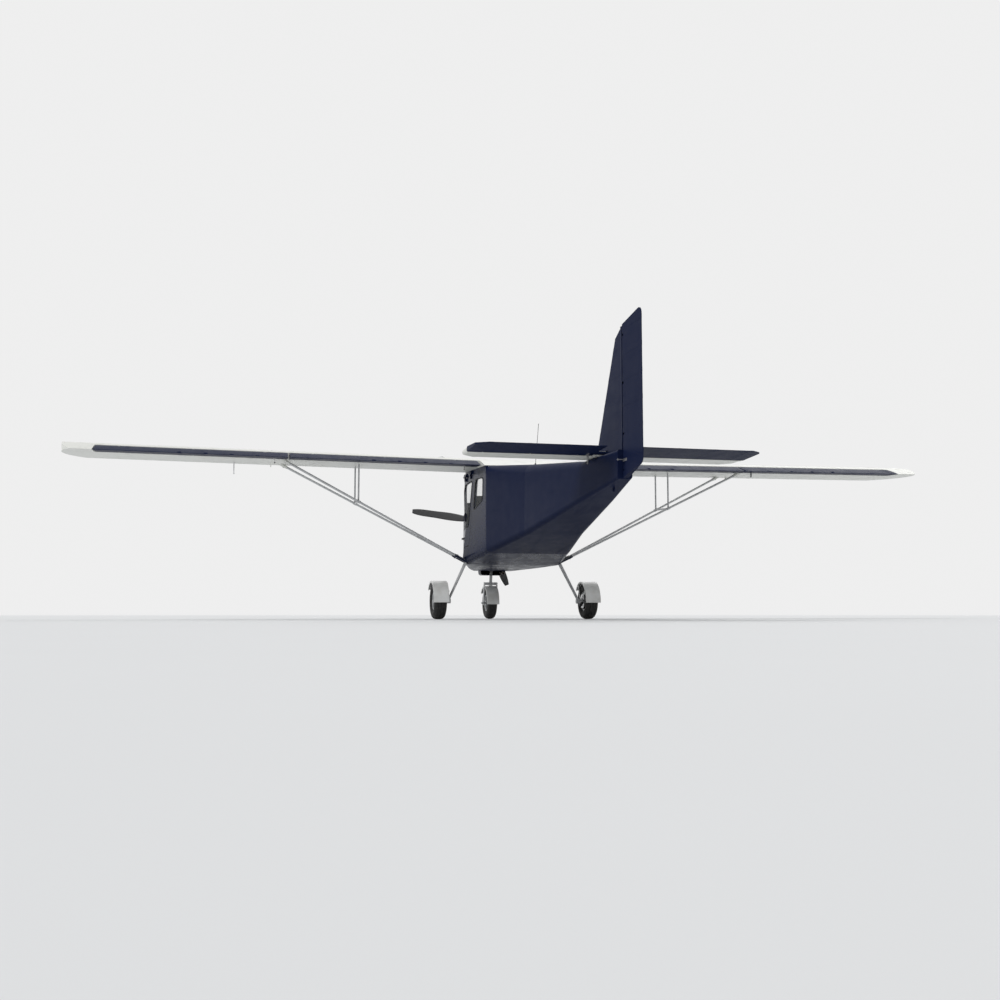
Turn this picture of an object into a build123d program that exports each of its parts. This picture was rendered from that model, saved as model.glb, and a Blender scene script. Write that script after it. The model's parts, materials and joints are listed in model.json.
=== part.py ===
from build123d import *

import os
from math import cos, radians, sin, sqrt, tan

# Two-seat high-wing microlight aeroplane with strut-braced wings and a nose wheel.
# Millimetres. +X forward, +Y to port, +Z up, origin on the ground under the middle.
# A name that ends in _left is the port piece and one in _right its mirror image.

os.makedirs("parts", exist_ok=True)

# How far a cutting solid reaches past what it cuts
CUT_MARGIN = 20

# Clearances
SEAT_GAP = 0.3
PIN_FIT = 0.05
RUN_GAP = 6
COVE_GAP = 7
DOOR_GAP = 5.5

# Wing
WING_NOSE_X = 1500
WING_NOSE_Z = 1665
WING_ROOT_Y = 475
WING_CHORD = 1100
WING_DEPTH = 129
WING_PEAK = 330
NOSE_RISE = 38
NOSE_RUN = 110
TRAILING_EDGE = 4
INCIDENCE = 2.6
DIHEDRAL = 0.6
HINGE_CHORD = 885
TIP_RIB_Y = 4400
TIP_LENGTH = 320
TIP_NOSE_CUT = 70
TIP_TAIL_CUT = 200
TIP_BOW_CHORD = 462
TIP_EDGE = 26

# Flaps and ailerons, each between two stations along the span
FLAP_STATIONS = (515, 2490)
AILERON_STATIONS = (2510, 4390)
HINGE_SHARES = (0.12, 0.5, 0.88)

# Hinge lugs and pins of every control surface
LUG_THICK = 8
LUG_RADIUS = 14
HINGE_PIN_RADIUS = 5
LUG_ROOT = 30

# Tie-down eyes under the wings and the tail
TIE_EYE_RADIUS = 18
TIE_HOLE_RADIUS = 8
TIE_PLATE = 8
TIE_DROP = 14
TIE_ROOT = 16
WING_TIE_Y = 2660
WING_TIE_CHORD = 210
TAIL_TIE_X = -2400

# Fuselage shell
WALL = 25
GLASS = 5
SKIN = 6
PLATE = 12
FIREWALL_X = 2100
BULKHEAD_X = 400
SPLIT_FRONT_Z = 690
SPLIT_REAR_Z = 800
COWL_SPLIT_Z = 1090
PILLAR_FOOT_Z = 1290
PILLAR_TOP_Z = 1622
PILLAR_TOP_X = 1440

# Columns: x, low half-width, high half-width, low z, high z, low radius, high radius
CABIN_FRAMES = (
    (FIREWALL_X, 330, 350, 570, 1370, 120, 120),
    (WING_NOSE_X, 478, 470, 585, 1703, 90, 40),
    (1100, 575, 470, 600, 1700, 70, 40),
    (BULKHEAD_X, 462, 462, 690, 1650, 60, 40),
)
TAIL_FRAMES = (
    (BULKHEAD_X - PLATE, 461, 461, 691, 1614, 60, 60),
    (-600, 300, 290, 820, 1503, 50, 90),
    (-1950, 155, 145, 1015, 1360, 35, 60),
    (-2680, 62, 60, 1125, 1360, 20, 20),
)
COWL_FRAMES = (
    (FIREWALL_X + PLATE, 330, 350, 570, 1370, 120, 120),
    (2480, 290, 290, 640, 1368, 120, 130),
    (2700, 235, 225, 800, 1358, 110, 120),
    (2760, 190, 180, 860, 1325, 90, 100),
)
# Duct under the chin through which the cooling air leaves
CHIN_FRAMES = (
    (FIREWALL_X + PLATE, 150, 150, 520, 660, 30, 10),
    (2250, 150, 150, 520, 660, 30, 10),
    (2450, 120, 120, 640, 660, 8, 8),
)

# Door outline in side view, as x and z, and its window
DOOR_CORNERS = ((1900, 760), (1900, 1240), (1560, 1500), (1500, 1588), (930, 1588), (930, 800))
DOOR_RADIUS = 45
DOOR_WINDOW = ((1800, 1010), (1800, 1215), (1520, 1430), (1450, 1520), (1000, 1520), (1000, 1010))
REAR_WINDOW = ((850, 1180), (850, 1520), (520, 1500), (520, 1260))
WINDOW_RADIUS = 40
DOOR_HINGE_Y = 492
DOOR_HINGE_Z = 1604
DOOR_HINGE_X = (1080, 1370)
DOOR_KNUCKLE_RADIUS = 9
DOOR_KNUCKLE_LENGTH = 40
DOOR_PIN_RADIUS = 4
STRAP_DROP = 52
STRAP_RISE = 34
STRAP_STEP = 2
STRAP_TAPER = 6
STRAP_ROOT = 12
KNUCKLE_GAP = 1

# Tail
STABILISER_Z = 1382
STABILISER_DEPTH = 44
STABILISER_NOSE_X = -1985
TAIL_HALF_SPAN = 1200
TAIL_CORNER = 95
ELEVATOR_HINGE_X = -2290
ELEVATOR_END_X = -2695
ELEVATOR_INNER_Y = 150
TORQUE_TUBE_RADIUS = 15
FIN_DEPTH = 48
FIN_FOOT_X = -2020
FIN_KNEE_X = -2530
FIN_KNEE_Z = 2300
FIN_TOP_Z = 2365
TOP_HINGE_DROP = 85
RUDDER_HINGE_X = -2716
RUDDER_END_X = -3100
RUDDER_LOW_Z = 1130
RUDDER_HEEL_Z = 1210
RUDDER_TOP_Z = FIN_TOP_Z + 65
RUDDER_CORNER = 60
RUDDER_HINGE_Z = (1190, 1480, 1890, FIN_TOP_Z - TOP_HINGE_DROP)
LOW_LUG_ROOT = 8

# Propeller and engine
PROP_X = 2830
PROP_Z = 1230
PROP_RADIUS = 880
PROP_ANGLES = (7, 127, 247)
HUB_RADIUS = 62
HUB_LENGTH = 60
SHAFT_RADIUS = 22
SPINNER_RADIUS = 118
SPINNER_TIP_X = 3100
ENGINE_BACK_X = 2200
ENGINE_FRONT_X = 2620
ENGINE_HALF_WIDTH = 170
ENGINE_LOW_Z = 900
ENGINE_HIGH_Z = 1285
ENGINE_CORNER = 30
MOUNT_TUBE_RADIUS = 11
MOUNT_SPREAD_Y = 260
MOUNT_SPREAD_Z = 300
MOUNT_ROOT = 10
SHAFT_DEPTH = 80
SHAFT_HOLE_RADIUS = 45
BLADE_HOLE_RADIUS = 44
EXHAUST_Y = -110
SILENCER_X = (2140, 2340)
SILENCER_Z = 680
SILENCER_RADIUS = 45
SILENCER_CORNER = 12
PIPE_RADIUS = 17
PIPE_WALL = 2
PIPE_BEND = 45
PIPE_BORE = 90
HEADER_X = (2240, 2310)
TAIL_PIPE = ((2215, 655), (2215, 556), (2040, 540))
INTAKE_Z = 985
INTAKE_WIDTH = 230
INTAKE_HEIGHT = 84

# Blade sections. Columns: radius, chord, thickness, pitch in degrees
BLADE_SECTIONS = (
    (40, 46, 44, 40),
    (150, 80, 30, 38),
    (400, 112, 15, 25),
    (680, 92, 10, 17),
    (PROP_RADIUS, 52, 6, 13),
)

# Main gear
MAIN_AXLE_X = 1040
MAIN_TRACK_Y = 850
MAIN_TYRE_RADIUS = 200
MAIN_TYRE_WIDTH = 140
AXLE_RADIUS = 12.5
LEG_ROOT_X = 1100
LEG_ROOT_Y = 520
LEG_ROOT_Z = 660
LEG_FOOT_Y = 742
LEG_FOOT_Z = 200
LEG_ROOT_CHORD = 84
LEG_ROOT_DEPTH = 34
LEG_FOOT_CHORD = 56
LEG_FOOT_DEPTH = 24
BOSS_RADIUS = 27
BOSS_LENGTH = 46

# Nose gear
NOSE_AXLE_X = 2290
NOSE_TYRE_RADIUS = 190
NOSE_TYRE_WIDTH = 120
NOSE_RAKE = 12
FORK_CHORD = 46
FORK_TIP = 24
FORK_CORNER = 6
COLLAR_HEIGHT = 10
STEM_HOLE_GAP = 24
BRACKET_Z = (650, 750)
BRACKET_WIDTH = 60
BRACKET_HEIGHT = 22
BRACKET_REACH = 80
GUARD_PAD = 40
FORK_PLATE = 8
FORK_CROWN_Z = 224
CROWN_HEIGHT = 26
STEM_RADIUS = 18
STEM_TOP = 620
BEARING_FOOT = 430
BEARING_TOP = 610
BEARING_WALL = 7

# Wheels
RIM_SHARE = 0.5
RIM_WIDTH_SHARE = 0.62
SHOULDER_WIDTH_SHARE = 0.3
SHOULDER_RADIUS_SHARE = 0.96
HUB_WALL = 14
HUB_WIDTH = 100
WEB_THICK = 10
WEB_HOLES = 5
WEB_HOLE_RADIUS = 14
RIM_THICK = 9
AXLE_END = 12
TOW_PIN_LENGTH = 20

# Mudguards
GUARD_GAP = 14
GUARD_SKIN = 3
GUARD_SIDE = 16
GUARD_FRONT = 35
GUARD_REAR = 185
STAY_ANGLES = (65, 150)
STAY_WIDTH = 22
STAY_THICK = 4

# Wing struts, from a socket at the belly corner to one under each spar
STRUT_CHORD = 56
STRUT_DEPTH = 24
SOCKET_WALL = 4
SOCKET_LENGTH = 70
SOCKET_ROOT = 40
LOW_SOCKET_LENGTH = 140
LOW_SOCKET_ROOT = 30
STRUT_LOW_Y = 548
STRUT_LOW_Z = 640
STRUT_HIGH_Y = 2550
JURY_Y = 1750
JURY_RADIUS = 9
COLLAR_LENGTH = 36
COLLAR_WALL = 4
FRONT_STRUT_X = (1152, 1290)
REAR_STRUT_X = (1062, 700)

# Cabin fittings
PANEL_X = 1950
PANEL_THICK = 20
PANEL_LOW_Z = 1040
PANEL_HIGH_Z = 1370
SEAT_FRONT_X = 1470
SEAT_BACK_X = 1010
SEAT_Z = 850
BACKREST_TOP = (860, 1340)
SEAT_SHEET = 10
SEAT_HALF_WIDTH = 470
CUSHION_INNER_Y = 25
CUSHION_OUTER_Y = 455
CUSHION_THICK = 70
CUSHION_SPACE = 12
CUSHION_CORNER = 40
CUSHION_EDGE = 20
BACK_CUSHION_LENGTH = 470
STICK_X = 1600
STICK_RADIUS = 12
STICK_TOP_Z = 1010
GRIP_LENGTH = 110
GRIP_RADIUS = 17


def wing_top(chord_position):
    """Height of the upper surface behind its highest point, on one arc to the trailing edge."""
    run = WING_CHORD - WING_PEAK
    drop = WING_DEPTH - TRAILING_EDGE
    radius = (run**2 + drop**2) / (2 * drop)
    return WING_DEPTH - radius + sqrt(radius**2 - (chord_position - WING_PEAK) ** 2)


def rib_plane(span_y):
    """Upright plane of the wing section at a station: x runs aft along the chord, y up."""
    rise = (span_y - WING_ROOT_Y) * tan(radians(DIHEDRAL))
    return Plane(
        origin=(WING_NOSE_X, span_y, WING_NOSE_Z + rise),
        x_dir=(-cos(radians(INCIDENCE)), 0, -sin(radians(INCIDENCE))),
        z_dir=(0, 1, 0),
    )


SPAN_DIRECTION = (0, cos(radians(DIHEDRAL)), sin(radians(DIHEDRAL)))
HINGE_NOSE_RADIUS = wing_top(HINGE_CHORD) / 2
WING_REAR = HINGE_CHORD - HINGE_NOSE_RADIUS - COVE_GAP


def along_span(length):
    """Length along the raised span direction that covers a level distance."""
    return length / cos(radians(DIHEDRAL))


def wing_section(span_y, rear):
    """Flat-bottomed wing section from its elliptical nose back to a chord position."""
    with BuildSketch(rib_plane(span_y)) as section:
        with BuildLine():
            EllipticalCenterArc((NOSE_RUN, NOSE_RISE), NOSE_RUN, NOSE_RISE, 180, arc_size=90)
            Line((NOSE_RUN, 0), (rear, 0))
            Line((rear, 0), (rear, wing_top(rear)))
            TangentArc((WING_PEAK, WING_DEPTH), (rear, wing_top(rear)), tangent=(1, 0))
            EllipticalCenterArc(
                (WING_PEAK, NOSE_RISE), WING_PEAK, WING_DEPTH - NOSE_RISE, 90, arc_size=90
            )
        make_face()
    return section.sketch


def write_piece(piece, name):
    """Label a finished piece and write it."""
    piece.part.label = name
    export_step(piece.part, f"parts/{name}.step")


def write_pair(piece, name):
    """Write a port piece and its mirror image to starboard."""
    with BuildPart() as opposite:
        mirror(piece.part, about=Plane.XZ)
    write_piece(piece, f"{name}_left")
    write_piece(opposite, f"{name}_right")


def hinge_lug(plane, reach):
    """Lug around a hinge pin at the plane's origin, reaching forward into a spar."""
    with BuildPart() as lug:
        with BuildSketch(plane):
            Circle(LUG_RADIUS)
            with Locations((-reach / 2, 0)):
                Rectangle(reach, 2 * LUG_RADIUS)
            Circle(HINGE_PIN_RADIUS + PIN_FIT, mode=Mode.SUBTRACT)
        extrude(amount=LUG_THICK / 2, both=True)
    return lug.part


def hinge_notch(plane, nose_radius):
    """Space for a lug in a control surface's nose."""
    back = LUG_RADIUS + RUN_GAP
    front = nose_radius + RUN_GAP
    with BuildPart() as notch:
        with BuildSketch(plane):
            with Locations(((back - front) / 2, 0)):
                Rectangle(back + front, 4 * nose_radius)
        extrude(amount=LUG_THICK / 2 + RUN_GAP, both=True)
    return notch.part


def hinge_pin(plane):
    """Pin across a notch, held at both ends by the control surface."""
    with BuildPart() as pin:
        with BuildSketch(plane):
            Circle(HINGE_PIN_RADIUS)
        extrude(amount=LUG_THICK / 2 + 2 * RUN_GAP, both=True)
    return pin.part


def tie_eye(plane):
    """Eye below a plane's origin, with a root that reaches up into what carries it."""
    with BuildPart() as eye:
        with BuildSketch(plane):
            with Locations((0, -TIE_DROP)):
                Circle(TIE_EYE_RADIUS)
            with Locations((0, (TIE_ROOT - TIE_DROP) / 2)):
                Rectangle(2 * TIE_EYE_RADIUS, TIE_DROP + TIE_ROOT)
            with Locations((0, -TIE_DROP)):
                Circle(TIE_HOLE_RADIUS, mode=Mode.SUBTRACT)
        extrude(amount=TIE_PLATE / 2, both=True)
    return eye.part


def between(stations):
    """Hinge places between a control surface's two ends."""
    inner, outer = stations
    return [inner + share * (outer - inner) for share in HINGE_SHARES]


def wing_hinge(span_y):
    """Plane across the wing's hinge axis at a station, x running aft."""
    rib = rib_plane(span_y)
    rib.origin = rib.from_local_coords((HINGE_CHORD, HINGE_NOSE_RADIUS, 0))
    return rib


# Wings, solid from the nose to the rear spar, with lugs for flap and aileron
LUG_REACH = HINGE_NOSE_RADIUS + COVE_GAP + LUG_ROOT
spar_sketch = wing_section(WING_ROOT_Y, WING_REAR)
wing_lugs = [
    hinge_lug(wing_hinge(station), LUG_REACH)
    for station in between(FLAP_STATIONS) + between(AILERON_STATIONS)
]


def strut_plane(start, end):
    """Plane at a strut's start whose normal runs along the strut, chord fore and aft."""
    return Plane(origin=start, x_dir=(1, 0, 0), z_dir=Vector(*end) - Vector(*start))


def strut_ends(strut_x):
    """Ends of a strut's axis inside the belly corner and under the wing."""
    low_x, high_x = strut_x
    rib = rib_plane(STRUT_HIGH_Y)
    chord_position = (WING_NOSE_X - high_x) / cos(radians(INCIDENCE))
    high = rib.from_local_coords((chord_position, 0, 0))
    return Vector(low_x, STRUT_LOW_Y, STRUT_LOW_Z), high


def strut_length(strut_x):
    """Length of a strut's axis."""
    low, high = strut_ends(strut_x)
    return (high - low).length


def strut_bar(strut_x, start, end, extra):
    """Streamlined bar on a strut's axis between two distances from its lower end."""
    low, high = strut_ends(strut_x)
    plane = strut_plane(tuple(low), tuple(high))
    with BuildPart() as bar:
        with BuildSketch(plane.offset(start)):
            Ellipse(STRUT_CHORD / 2 + extra, STRUT_DEPTH / 2 + extra)
        extrude(amount=end - start)
    return bar.part


tie_plane = rib_plane(WING_TIE_Y)
tie_plane.origin = tie_plane.from_local_coords((WING_TIE_CHORD, 0, 0))

with BuildPart() as wing_left:
    extrude(
        spar_sketch, amount=along_span(TIP_RIB_Y - WING_ROOT_Y), dir=SPAN_DIRECTION
    )
    add(wing_lugs)
    add(tie_eye(tie_plane))
    for strut_x in (FRONT_STRUT_X, REAR_STRUT_X):
        end = strut_length(strut_x)
        add(strut_bar(strut_x, end - SOCKET_LENGTH, end + SOCKET_ROOT, SOCKET_WALL))
write_pair(wing_left, "wing")


# Wing tips: the whole section, cut to a bow in plan and to a thin edge in front view
def tip_plan():
    """Plan of the tip: nose corner cut in, bow outside, trailing corner swept back in."""
    rib = rib_plane(TIP_RIB_Y)
    plane = Plane(origin=rib.origin, x_dir=rib.x_dir, z_dir=-rib.y_dir)
    tail = WING_CHORD + CUT_MARGIN
    with BuildSketch(plane) as plan:
        with BuildLine():
            Line((-CUT_MARGIN, 0), (-CUT_MARGIN, TIP_NOSE_CUT))
            ThreePointArc(
                (-CUT_MARGIN, TIP_NOSE_CUT), (TIP_BOW_CHORD, TIP_LENGTH), (tail, TIP_TAIL_CUT)
            )
            Line((tail, TIP_TAIL_CUT), (tail, 0))
            Line((tail, 0), (-CUT_MARGIN, 0))
        make_face()
    return plan.sketch


def tip_front():
    """Front view of the tip: flat below, arched down above to a thin edge."""
    rib = rib_plane(TIP_RIB_Y)
    plane = Plane(origin=rib.origin, x_dir=SPAN_DIRECTION, z_dir=rib.x_dir)
    end = TIP_LENGTH + CUT_MARGIN
    with BuildSketch(plane) as front:
        with BuildLine():
            Line((0, -WING_DEPTH), (end, -WING_DEPTH))
            Line((end, -WING_DEPTH), (end, TIP_EDGE))
            TangentArc((0, WING_DEPTH + 1), (end, TIP_EDGE), tangent=(1, 0))
            Line((0, WING_DEPTH + 1), (0, -WING_DEPTH))
        make_face()
    return front.sketch


tip_section = wing_section(TIP_RIB_Y, WING_CHORD)
tip_outline = tip_plan()
tip_profile = tip_front()
with BuildPart() as wing_tips:
    extrude(tip_section, amount=TIP_LENGTH + CUT_MARGIN, dir=SPAN_DIRECTION)
    extrude(tip_outline, amount=2 * WING_DEPTH, both=True, mode=Mode.INTERSECT)
    extrude(tip_profile, amount=WING_CHORD + CUT_MARGIN, both=True, mode=Mode.INTERSECT)
    mirror(about=Plane.XZ)
write_piece(wing_tips, "wing_tips")


# Flaps and ailerons, with a round nose on the hinge axis and notches over the lugs
def control_surface(stations):
    """Control surface on the wing's trailing edge between two stations."""
    inner, outer = stations
    nose = HINGE_NOSE_RADIUS
    middle = (WING_CHORD + HINGE_CHORD) / 2
    with BuildPart() as surface:
        with BuildSketch(rib_plane(inner)):
            with BuildLine():
                CenterArc((HINGE_CHORD, nose), nose, 90, 180)
                Line((HINGE_CHORD, 0), (WING_CHORD, 0))
                Line((WING_CHORD, 0), (WING_CHORD, TRAILING_EDGE))
                ThreePointArc(
                    (WING_CHORD, TRAILING_EDGE), (middle, wing_top(middle)), (HINGE_CHORD, 2 * nose)
                )
            make_face()
        extrude(amount=along_span(outer - inner), dir=SPAN_DIRECTION)
        for station in between(stations):
            add(hinge_notch(wing_hinge(station), nose), mode=Mode.SUBTRACT)
            add(hinge_pin(wing_hinge(station)))
    return surface


write_pair(control_surface(FLAP_STATIONS), "flap")
write_pair(control_surface(AILERON_STATIONS), "aileron")


# Roof: the wing's own section carried across the cabin
roof_sketch = wing_section(WING_ROOT_Y, WING_CHORD)
with BuildPart() as roof:
    extrude(roof_sketch, amount=-2 * WING_ROOT_Y)
write_piece(roof, "roof")

with BuildPart() as above_roof:
    with BuildSketch(rib_plane(WING_ROOT_Y)):
        with BuildLine():
            EllipticalCenterArc((NOSE_RUN, NOSE_RISE), NOSE_RUN, NOSE_RISE, 180, arc_size=90)
            Polyline(
                (NOSE_RUN, 0),
                (WING_CHORD + CUT_MARGIN, 0),
                (WING_CHORD + CUT_MARGIN, 2 * WING_DEPTH),
                (0, 2 * WING_DEPTH),
                (0, NOSE_RISE),
            )
        make_face()
    extrude(amount=2 * WING_ROOT_Y + CUT_MARGIN, both=True)


# Fuselage shells, lofted through flat-sided frames with rounded corners
def frame_outline(frame, inset):
    """Cross-section of the fuselage at one frame, moved in by a wall thickness."""
    x, low_half, high_half, low_z, high_z, low_radius, high_radius = frame
    with BuildSketch(Plane.YZ.offset(x)) as outline:
        with BuildLine():
            Polyline(
                (low_half - inset, low_z + inset),
                (high_half - inset, high_z - inset),
                (inset - high_half, high_z - inset),
                (inset - low_half, low_z + inset),
                close=True,
            )
        make_face()
        fillet(outline.vertices().group_by(Axis.Y)[0], low_radius - inset)
        fillet(outline.vertices().group_by(Axis.Y)[-1], high_radius - inset)
    return outline.sketch


def fuselage_body(frames, inset=0):
    """Solid body through a row of frames."""
    return loft([frame_outline(frame, inset) for frame in frames], ruled=True)


cabin_hull = fuselage_body(CABIN_FRAMES)
cabin_lining = fuselage_body(CABIN_FRAMES, WALL)
cabin_glass_back = fuselage_body(CABIN_FRAMES, GLASS)


def side_prism(corners, corner_radius=0, grow=0, both=False):
    """Outline in side view pushed out through the port side, or through both sides."""
    with BuildPart() as prism:
        with BuildSketch(Plane.XZ) as outline:
            with BuildLine():
                Polyline(*corners, close=True)
            make_face()
            if corner_radius:
                fillet(outline.vertices(), corner_radius)
            if grow:
                offset(amount=grow)
        extrude(amount=-2 * WING_ROOT_Y)
        if both:
            mirror(about=Plane.XZ)
    return prism.part


FLOOR_REGION = (
    (FIREWALL_X + CUT_MARGIN, 0),
    (FIREWALL_X + CUT_MARGIN, SPLIT_FRONT_Z),
    (BULKHEAD_X - CUT_MARGIN, SPLIT_REAR_Z),
    (BULKHEAD_X - CUT_MARGIN, 0),
)
SCREEN_REGION = (
    (FIREWALL_X + CUT_MARGIN, PILLAR_FOOT_Z),
    (FIREWALL_X + CUT_MARGIN, 2 * WING_NOSE_Z),
    (PILLAR_TOP_X, 2 * WING_NOSE_Z),
    (PILLAR_TOP_X, PILLAR_TOP_Z),
)
floor_region = side_prism(FLOOR_REGION, both=True)
screen_region = side_prism(SCREEN_REGION, both=True)
door_opening = side_prism(DOOR_CORNERS, DOOR_RADIUS, grow=DOOR_GAP)
door_outline = side_prism(DOOR_CORNERS, DOOR_RADIUS)
door_window = side_prism(DOOR_WINDOW, WINDOW_RADIUS)
rear_window = side_prism(REAR_WINDOW, WINDOW_RADIUS)

with BuildPart() as floor_pan:
    add(cabin_hull)
    add(cabin_lining, mode=Mode.SUBTRACT)
    add(floor_region, mode=Mode.INTERSECT)
    for strut_x in (FRONT_STRUT_X, REAR_STRUT_X):
        socket = strut_bar(strut_x, -LOW_SOCKET_ROOT, LOW_SOCKET_LENGTH, SOCKET_WALL)
        add(socket - cabin_lining)
        add(mirror(socket - cabin_lining, about=Plane.XZ, mode=Mode.PRIVATE))
write_piece(floor_pan, "floor_pan")

# Doors, hinged above on a straight line just outside the skin, and the panels round them
def door_knuckle(centre_x, strap, bore=0):
    """Knuckle on the door's hinge line with the strap that joins it to its panel."""
    with BuildPart() as knuckle:
        with BuildSketch(Plane.YZ.offset(centre_x)):
            with BuildLine():
                Polyline(*strap, close=True)
            make_face()
            with Locations((DOOR_HINGE_Y, DOOR_HINGE_Z)):
                Circle(DOOR_KNUCKLE_RADIUS)
                if bore:
                    Circle(bore, mode=Mode.SUBTRACT)
        extrude(amount=DOOR_KNUCKLE_LENGTH / 2, both=True)
    return knuckle.part


KNUCKLE_PITCH = DOOR_KNUCKLE_LENGTH + KNUCKLE_GAP
STRAP_OUT = DOOR_HINGE_Y + DOOR_KNUCKLE_RADIUS
STRAP_IN = DOOR_HINGE_Y - DOOR_KNUCKLE_RADIUS
DOOR_TOP_Z = DOOR_CORNERS[3][1]
DOOR_STRAP = (
    (STRAP_IN + STRAP_STEP, DOOR_HINGE_Z),
    (STRAP_OUT, DOOR_HINGE_Z),
    (STRAP_OUT - STRAP_TAPER, DOOR_HINGE_Z - STRAP_DROP),
    (STRAP_IN - STRAP_ROOT, DOOR_HINGE_Z - STRAP_DROP),
    (STRAP_IN - STRAP_ROOT, DOOR_TOP_Z - STRAP_STEP),
    (STRAP_IN + STRAP_STEP, DOOR_TOP_Z - STRAP_STEP),
)
CABIN_STRAP = (
    (STRAP_IN, DOOR_HINGE_Z),
    (STRAP_OUT, DOOR_HINGE_Z),
    (STRAP_OUT - STRAP_ROOT, DOOR_HINGE_Z + STRAP_RISE),
    (STRAP_IN - 2 * STRAP_ROOT, DOOR_HINGE_Z + STRAP_RISE),
)

port_half = side_prism(
    (
        (FIREWALL_X + CUT_MARGIN, 0),
        (FIREWALL_X + CUT_MARGIN, 2 * WING_NOSE_Z),
        (BULKHEAD_X - CUT_MARGIN, 2 * WING_NOSE_Z),
        (BULKHEAD_X - CUT_MARGIN, 0),
    )
)

with BuildPart() as cabin_side_left:
    add(cabin_hull)
    add(cabin_lining, mode=Mode.SUBTRACT)
    add(port_half, mode=Mode.INTERSECT)
    add([floor_region, screen_region, above_roof.part], mode=Mode.SUBTRACT)
    add([door_opening, rear_window], mode=Mode.SUBTRACT)
    for hinge_x in DOOR_HINGE_X:
        add(door_knuckle(hinge_x - KNUCKLE_PITCH, CABIN_STRAP))
        add(door_knuckle(hinge_x + KNUCKLE_PITCH, CABIN_STRAP))
        with BuildSketch(Plane.YZ.offset(hinge_x)):
            with Locations((DOOR_HINGE_Y, DOOR_HINGE_Z)):
                Circle(DOOR_PIN_RADIUS)
        extrude(amount=KNUCKLE_PITCH, both=True)
write_pair(cabin_side_left, "cabin_side")

with BuildPart() as door_left:
    add(cabin_hull)
    add(cabin_lining, mode=Mode.SUBTRACT)
    add(door_outline, mode=Mode.INTERSECT)
    add(door_window, mode=Mode.SUBTRACT)
    for hinge_x in DOOR_HINGE_X:
        add(door_knuckle(hinge_x, DOOR_STRAP, DOOR_PIN_RADIUS + PIN_FIT))
write_pair(door_left, "door")

with BuildPart() as door_glass_left:
    add(cabin_hull)
    add(cabin_glass_back, mode=Mode.SUBTRACT)
    add(door_window, mode=Mode.INTERSECT)
write_pair(door_glass_left, "door_glass")

with BuildPart() as rear_windows:
    add(cabin_hull)
    add(cabin_glass_back, mode=Mode.SUBTRACT)
    add(rear_window, mode=Mode.INTERSECT)
    mirror(about=Plane.XZ)
write_piece(rear_windows, "rear_windows")

with BuildPart() as windscreen:
    add(cabin_hull)
    add(cabin_glass_back, mode=Mode.SUBTRACT)
    add(screen_region, mode=Mode.INTERSECT)
    add(above_roof.part, mode=Mode.SUBTRACT)
write_piece(windscreen, "windscreen")

with BuildPart() as firewall:
    extrude(frame_outline(CABIN_FRAMES[0], 0), amount=PLATE)
write_piece(firewall, "firewall")

with BuildPart() as rear_bulkhead:
    extrude(frame_outline(TAIL_FRAMES[0], 0), amount=PLATE)
write_piece(rear_bulkhead, "rear_bulkhead")

# Tail cone, closed behind by a post with the rudder's lowest lug
def rudder_hinge(height):
    """Plane across the rudder's hinge axis, x running aft."""
    return Plane(origin=(RUDDER_HINGE_X, 0, height), x_dir=(-1, 0, 0), z_dir=(0, 0, 1))


def elevator_hinge(span_y):
    """Plane across the elevator's hinge axis, x running aft."""
    return Plane(
        origin=(ELEVATOR_HINGE_X, span_y, STABILISER_Z), x_dir=(-1, 0, 0), z_dir=(0, 1, 0)
    )


TAIL_POST = TAIL_FRAMES[-1]
tail_lining_frames = TAIL_FRAMES[:-1] + ((TAIL_POST[0] + SKIN,) + TAIL_POST[1:],)
RUDDER_NOSE = FIN_DEPTH / 2
RUDDER_REACH = RUDDER_NOSE + COVE_GAP + LOW_LUG_ROOT
last_bay = TAIL_FRAMES[-2:]
bay_share = (TAIL_TIE_X - last_bay[0][0]) / (last_bay[1][0] - last_bay[0][0])
tail_tie_z = last_bay[0][3] + bay_share * (last_bay[1][3] - last_bay[0][3])
with BuildPart() as tail_cone:
    add(fuselage_body(TAIL_FRAMES))
    add(fuselage_body(tail_lining_frames, SKIN), mode=Mode.SUBTRACT)
    add(hinge_lug(rudder_hinge(RUDDER_HINGE_Z[0]), RUDDER_REACH))
    add(tie_eye(Plane(origin=(TAIL_TIE_X, 0, tail_tie_z), x_dir=(-1, 0, 0), z_dir=(0, 1, 0))))
write_piece(tail_cone, "tail_cone")

# Stabiliser with its lugs, and the elevator in two halves on one torque tube
STABILISER_REAR_X = ELEVATOR_HINGE_X + STABILISER_DEPTH / 2 + COVE_GAP
ELEVATOR_REACH = STABILISER_DEPTH / 2 + COVE_GAP + LUG_ROOT
elevator_stations = between((ELEVATOR_INNER_Y, TAIL_HALF_SPAN))
with BuildPart() as stabiliser:
    with BuildSketch(Plane.XY.offset(STABILISER_Z)) as plan:
        with BuildLine():
            Polyline(
                (STABILISER_REAR_X, 0),
                (STABILISER_NOSE_X, 0),
                (STABILISER_NOSE_X, TAIL_HALF_SPAN - TAIL_CORNER),
                (STABILISER_NOSE_X - TAIL_CORNER, TAIL_HALF_SPAN),
                (STABILISER_REAR_X, TAIL_HALF_SPAN),
                close=True,
            )
        make_face()
        mirror(about=Plane.XZ)
    extrude(amount=STABILISER_DEPTH / 2, both=True)
    rounded = [
        edge
        for edge in edges().filter_by(Axis.Z, reverse=True)
        if edge.center().X > STABILISER_REAR_X + 1
    ]
    fillet(rounded, STABILISER_DEPTH / 2 - TRAILING_EDGE)
    for station in elevator_stations:
        add(hinge_lug(elevator_hinge(station), ELEVATOR_REACH))
        add(hinge_lug(elevator_hinge(-station), ELEVATOR_REACH))
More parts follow.
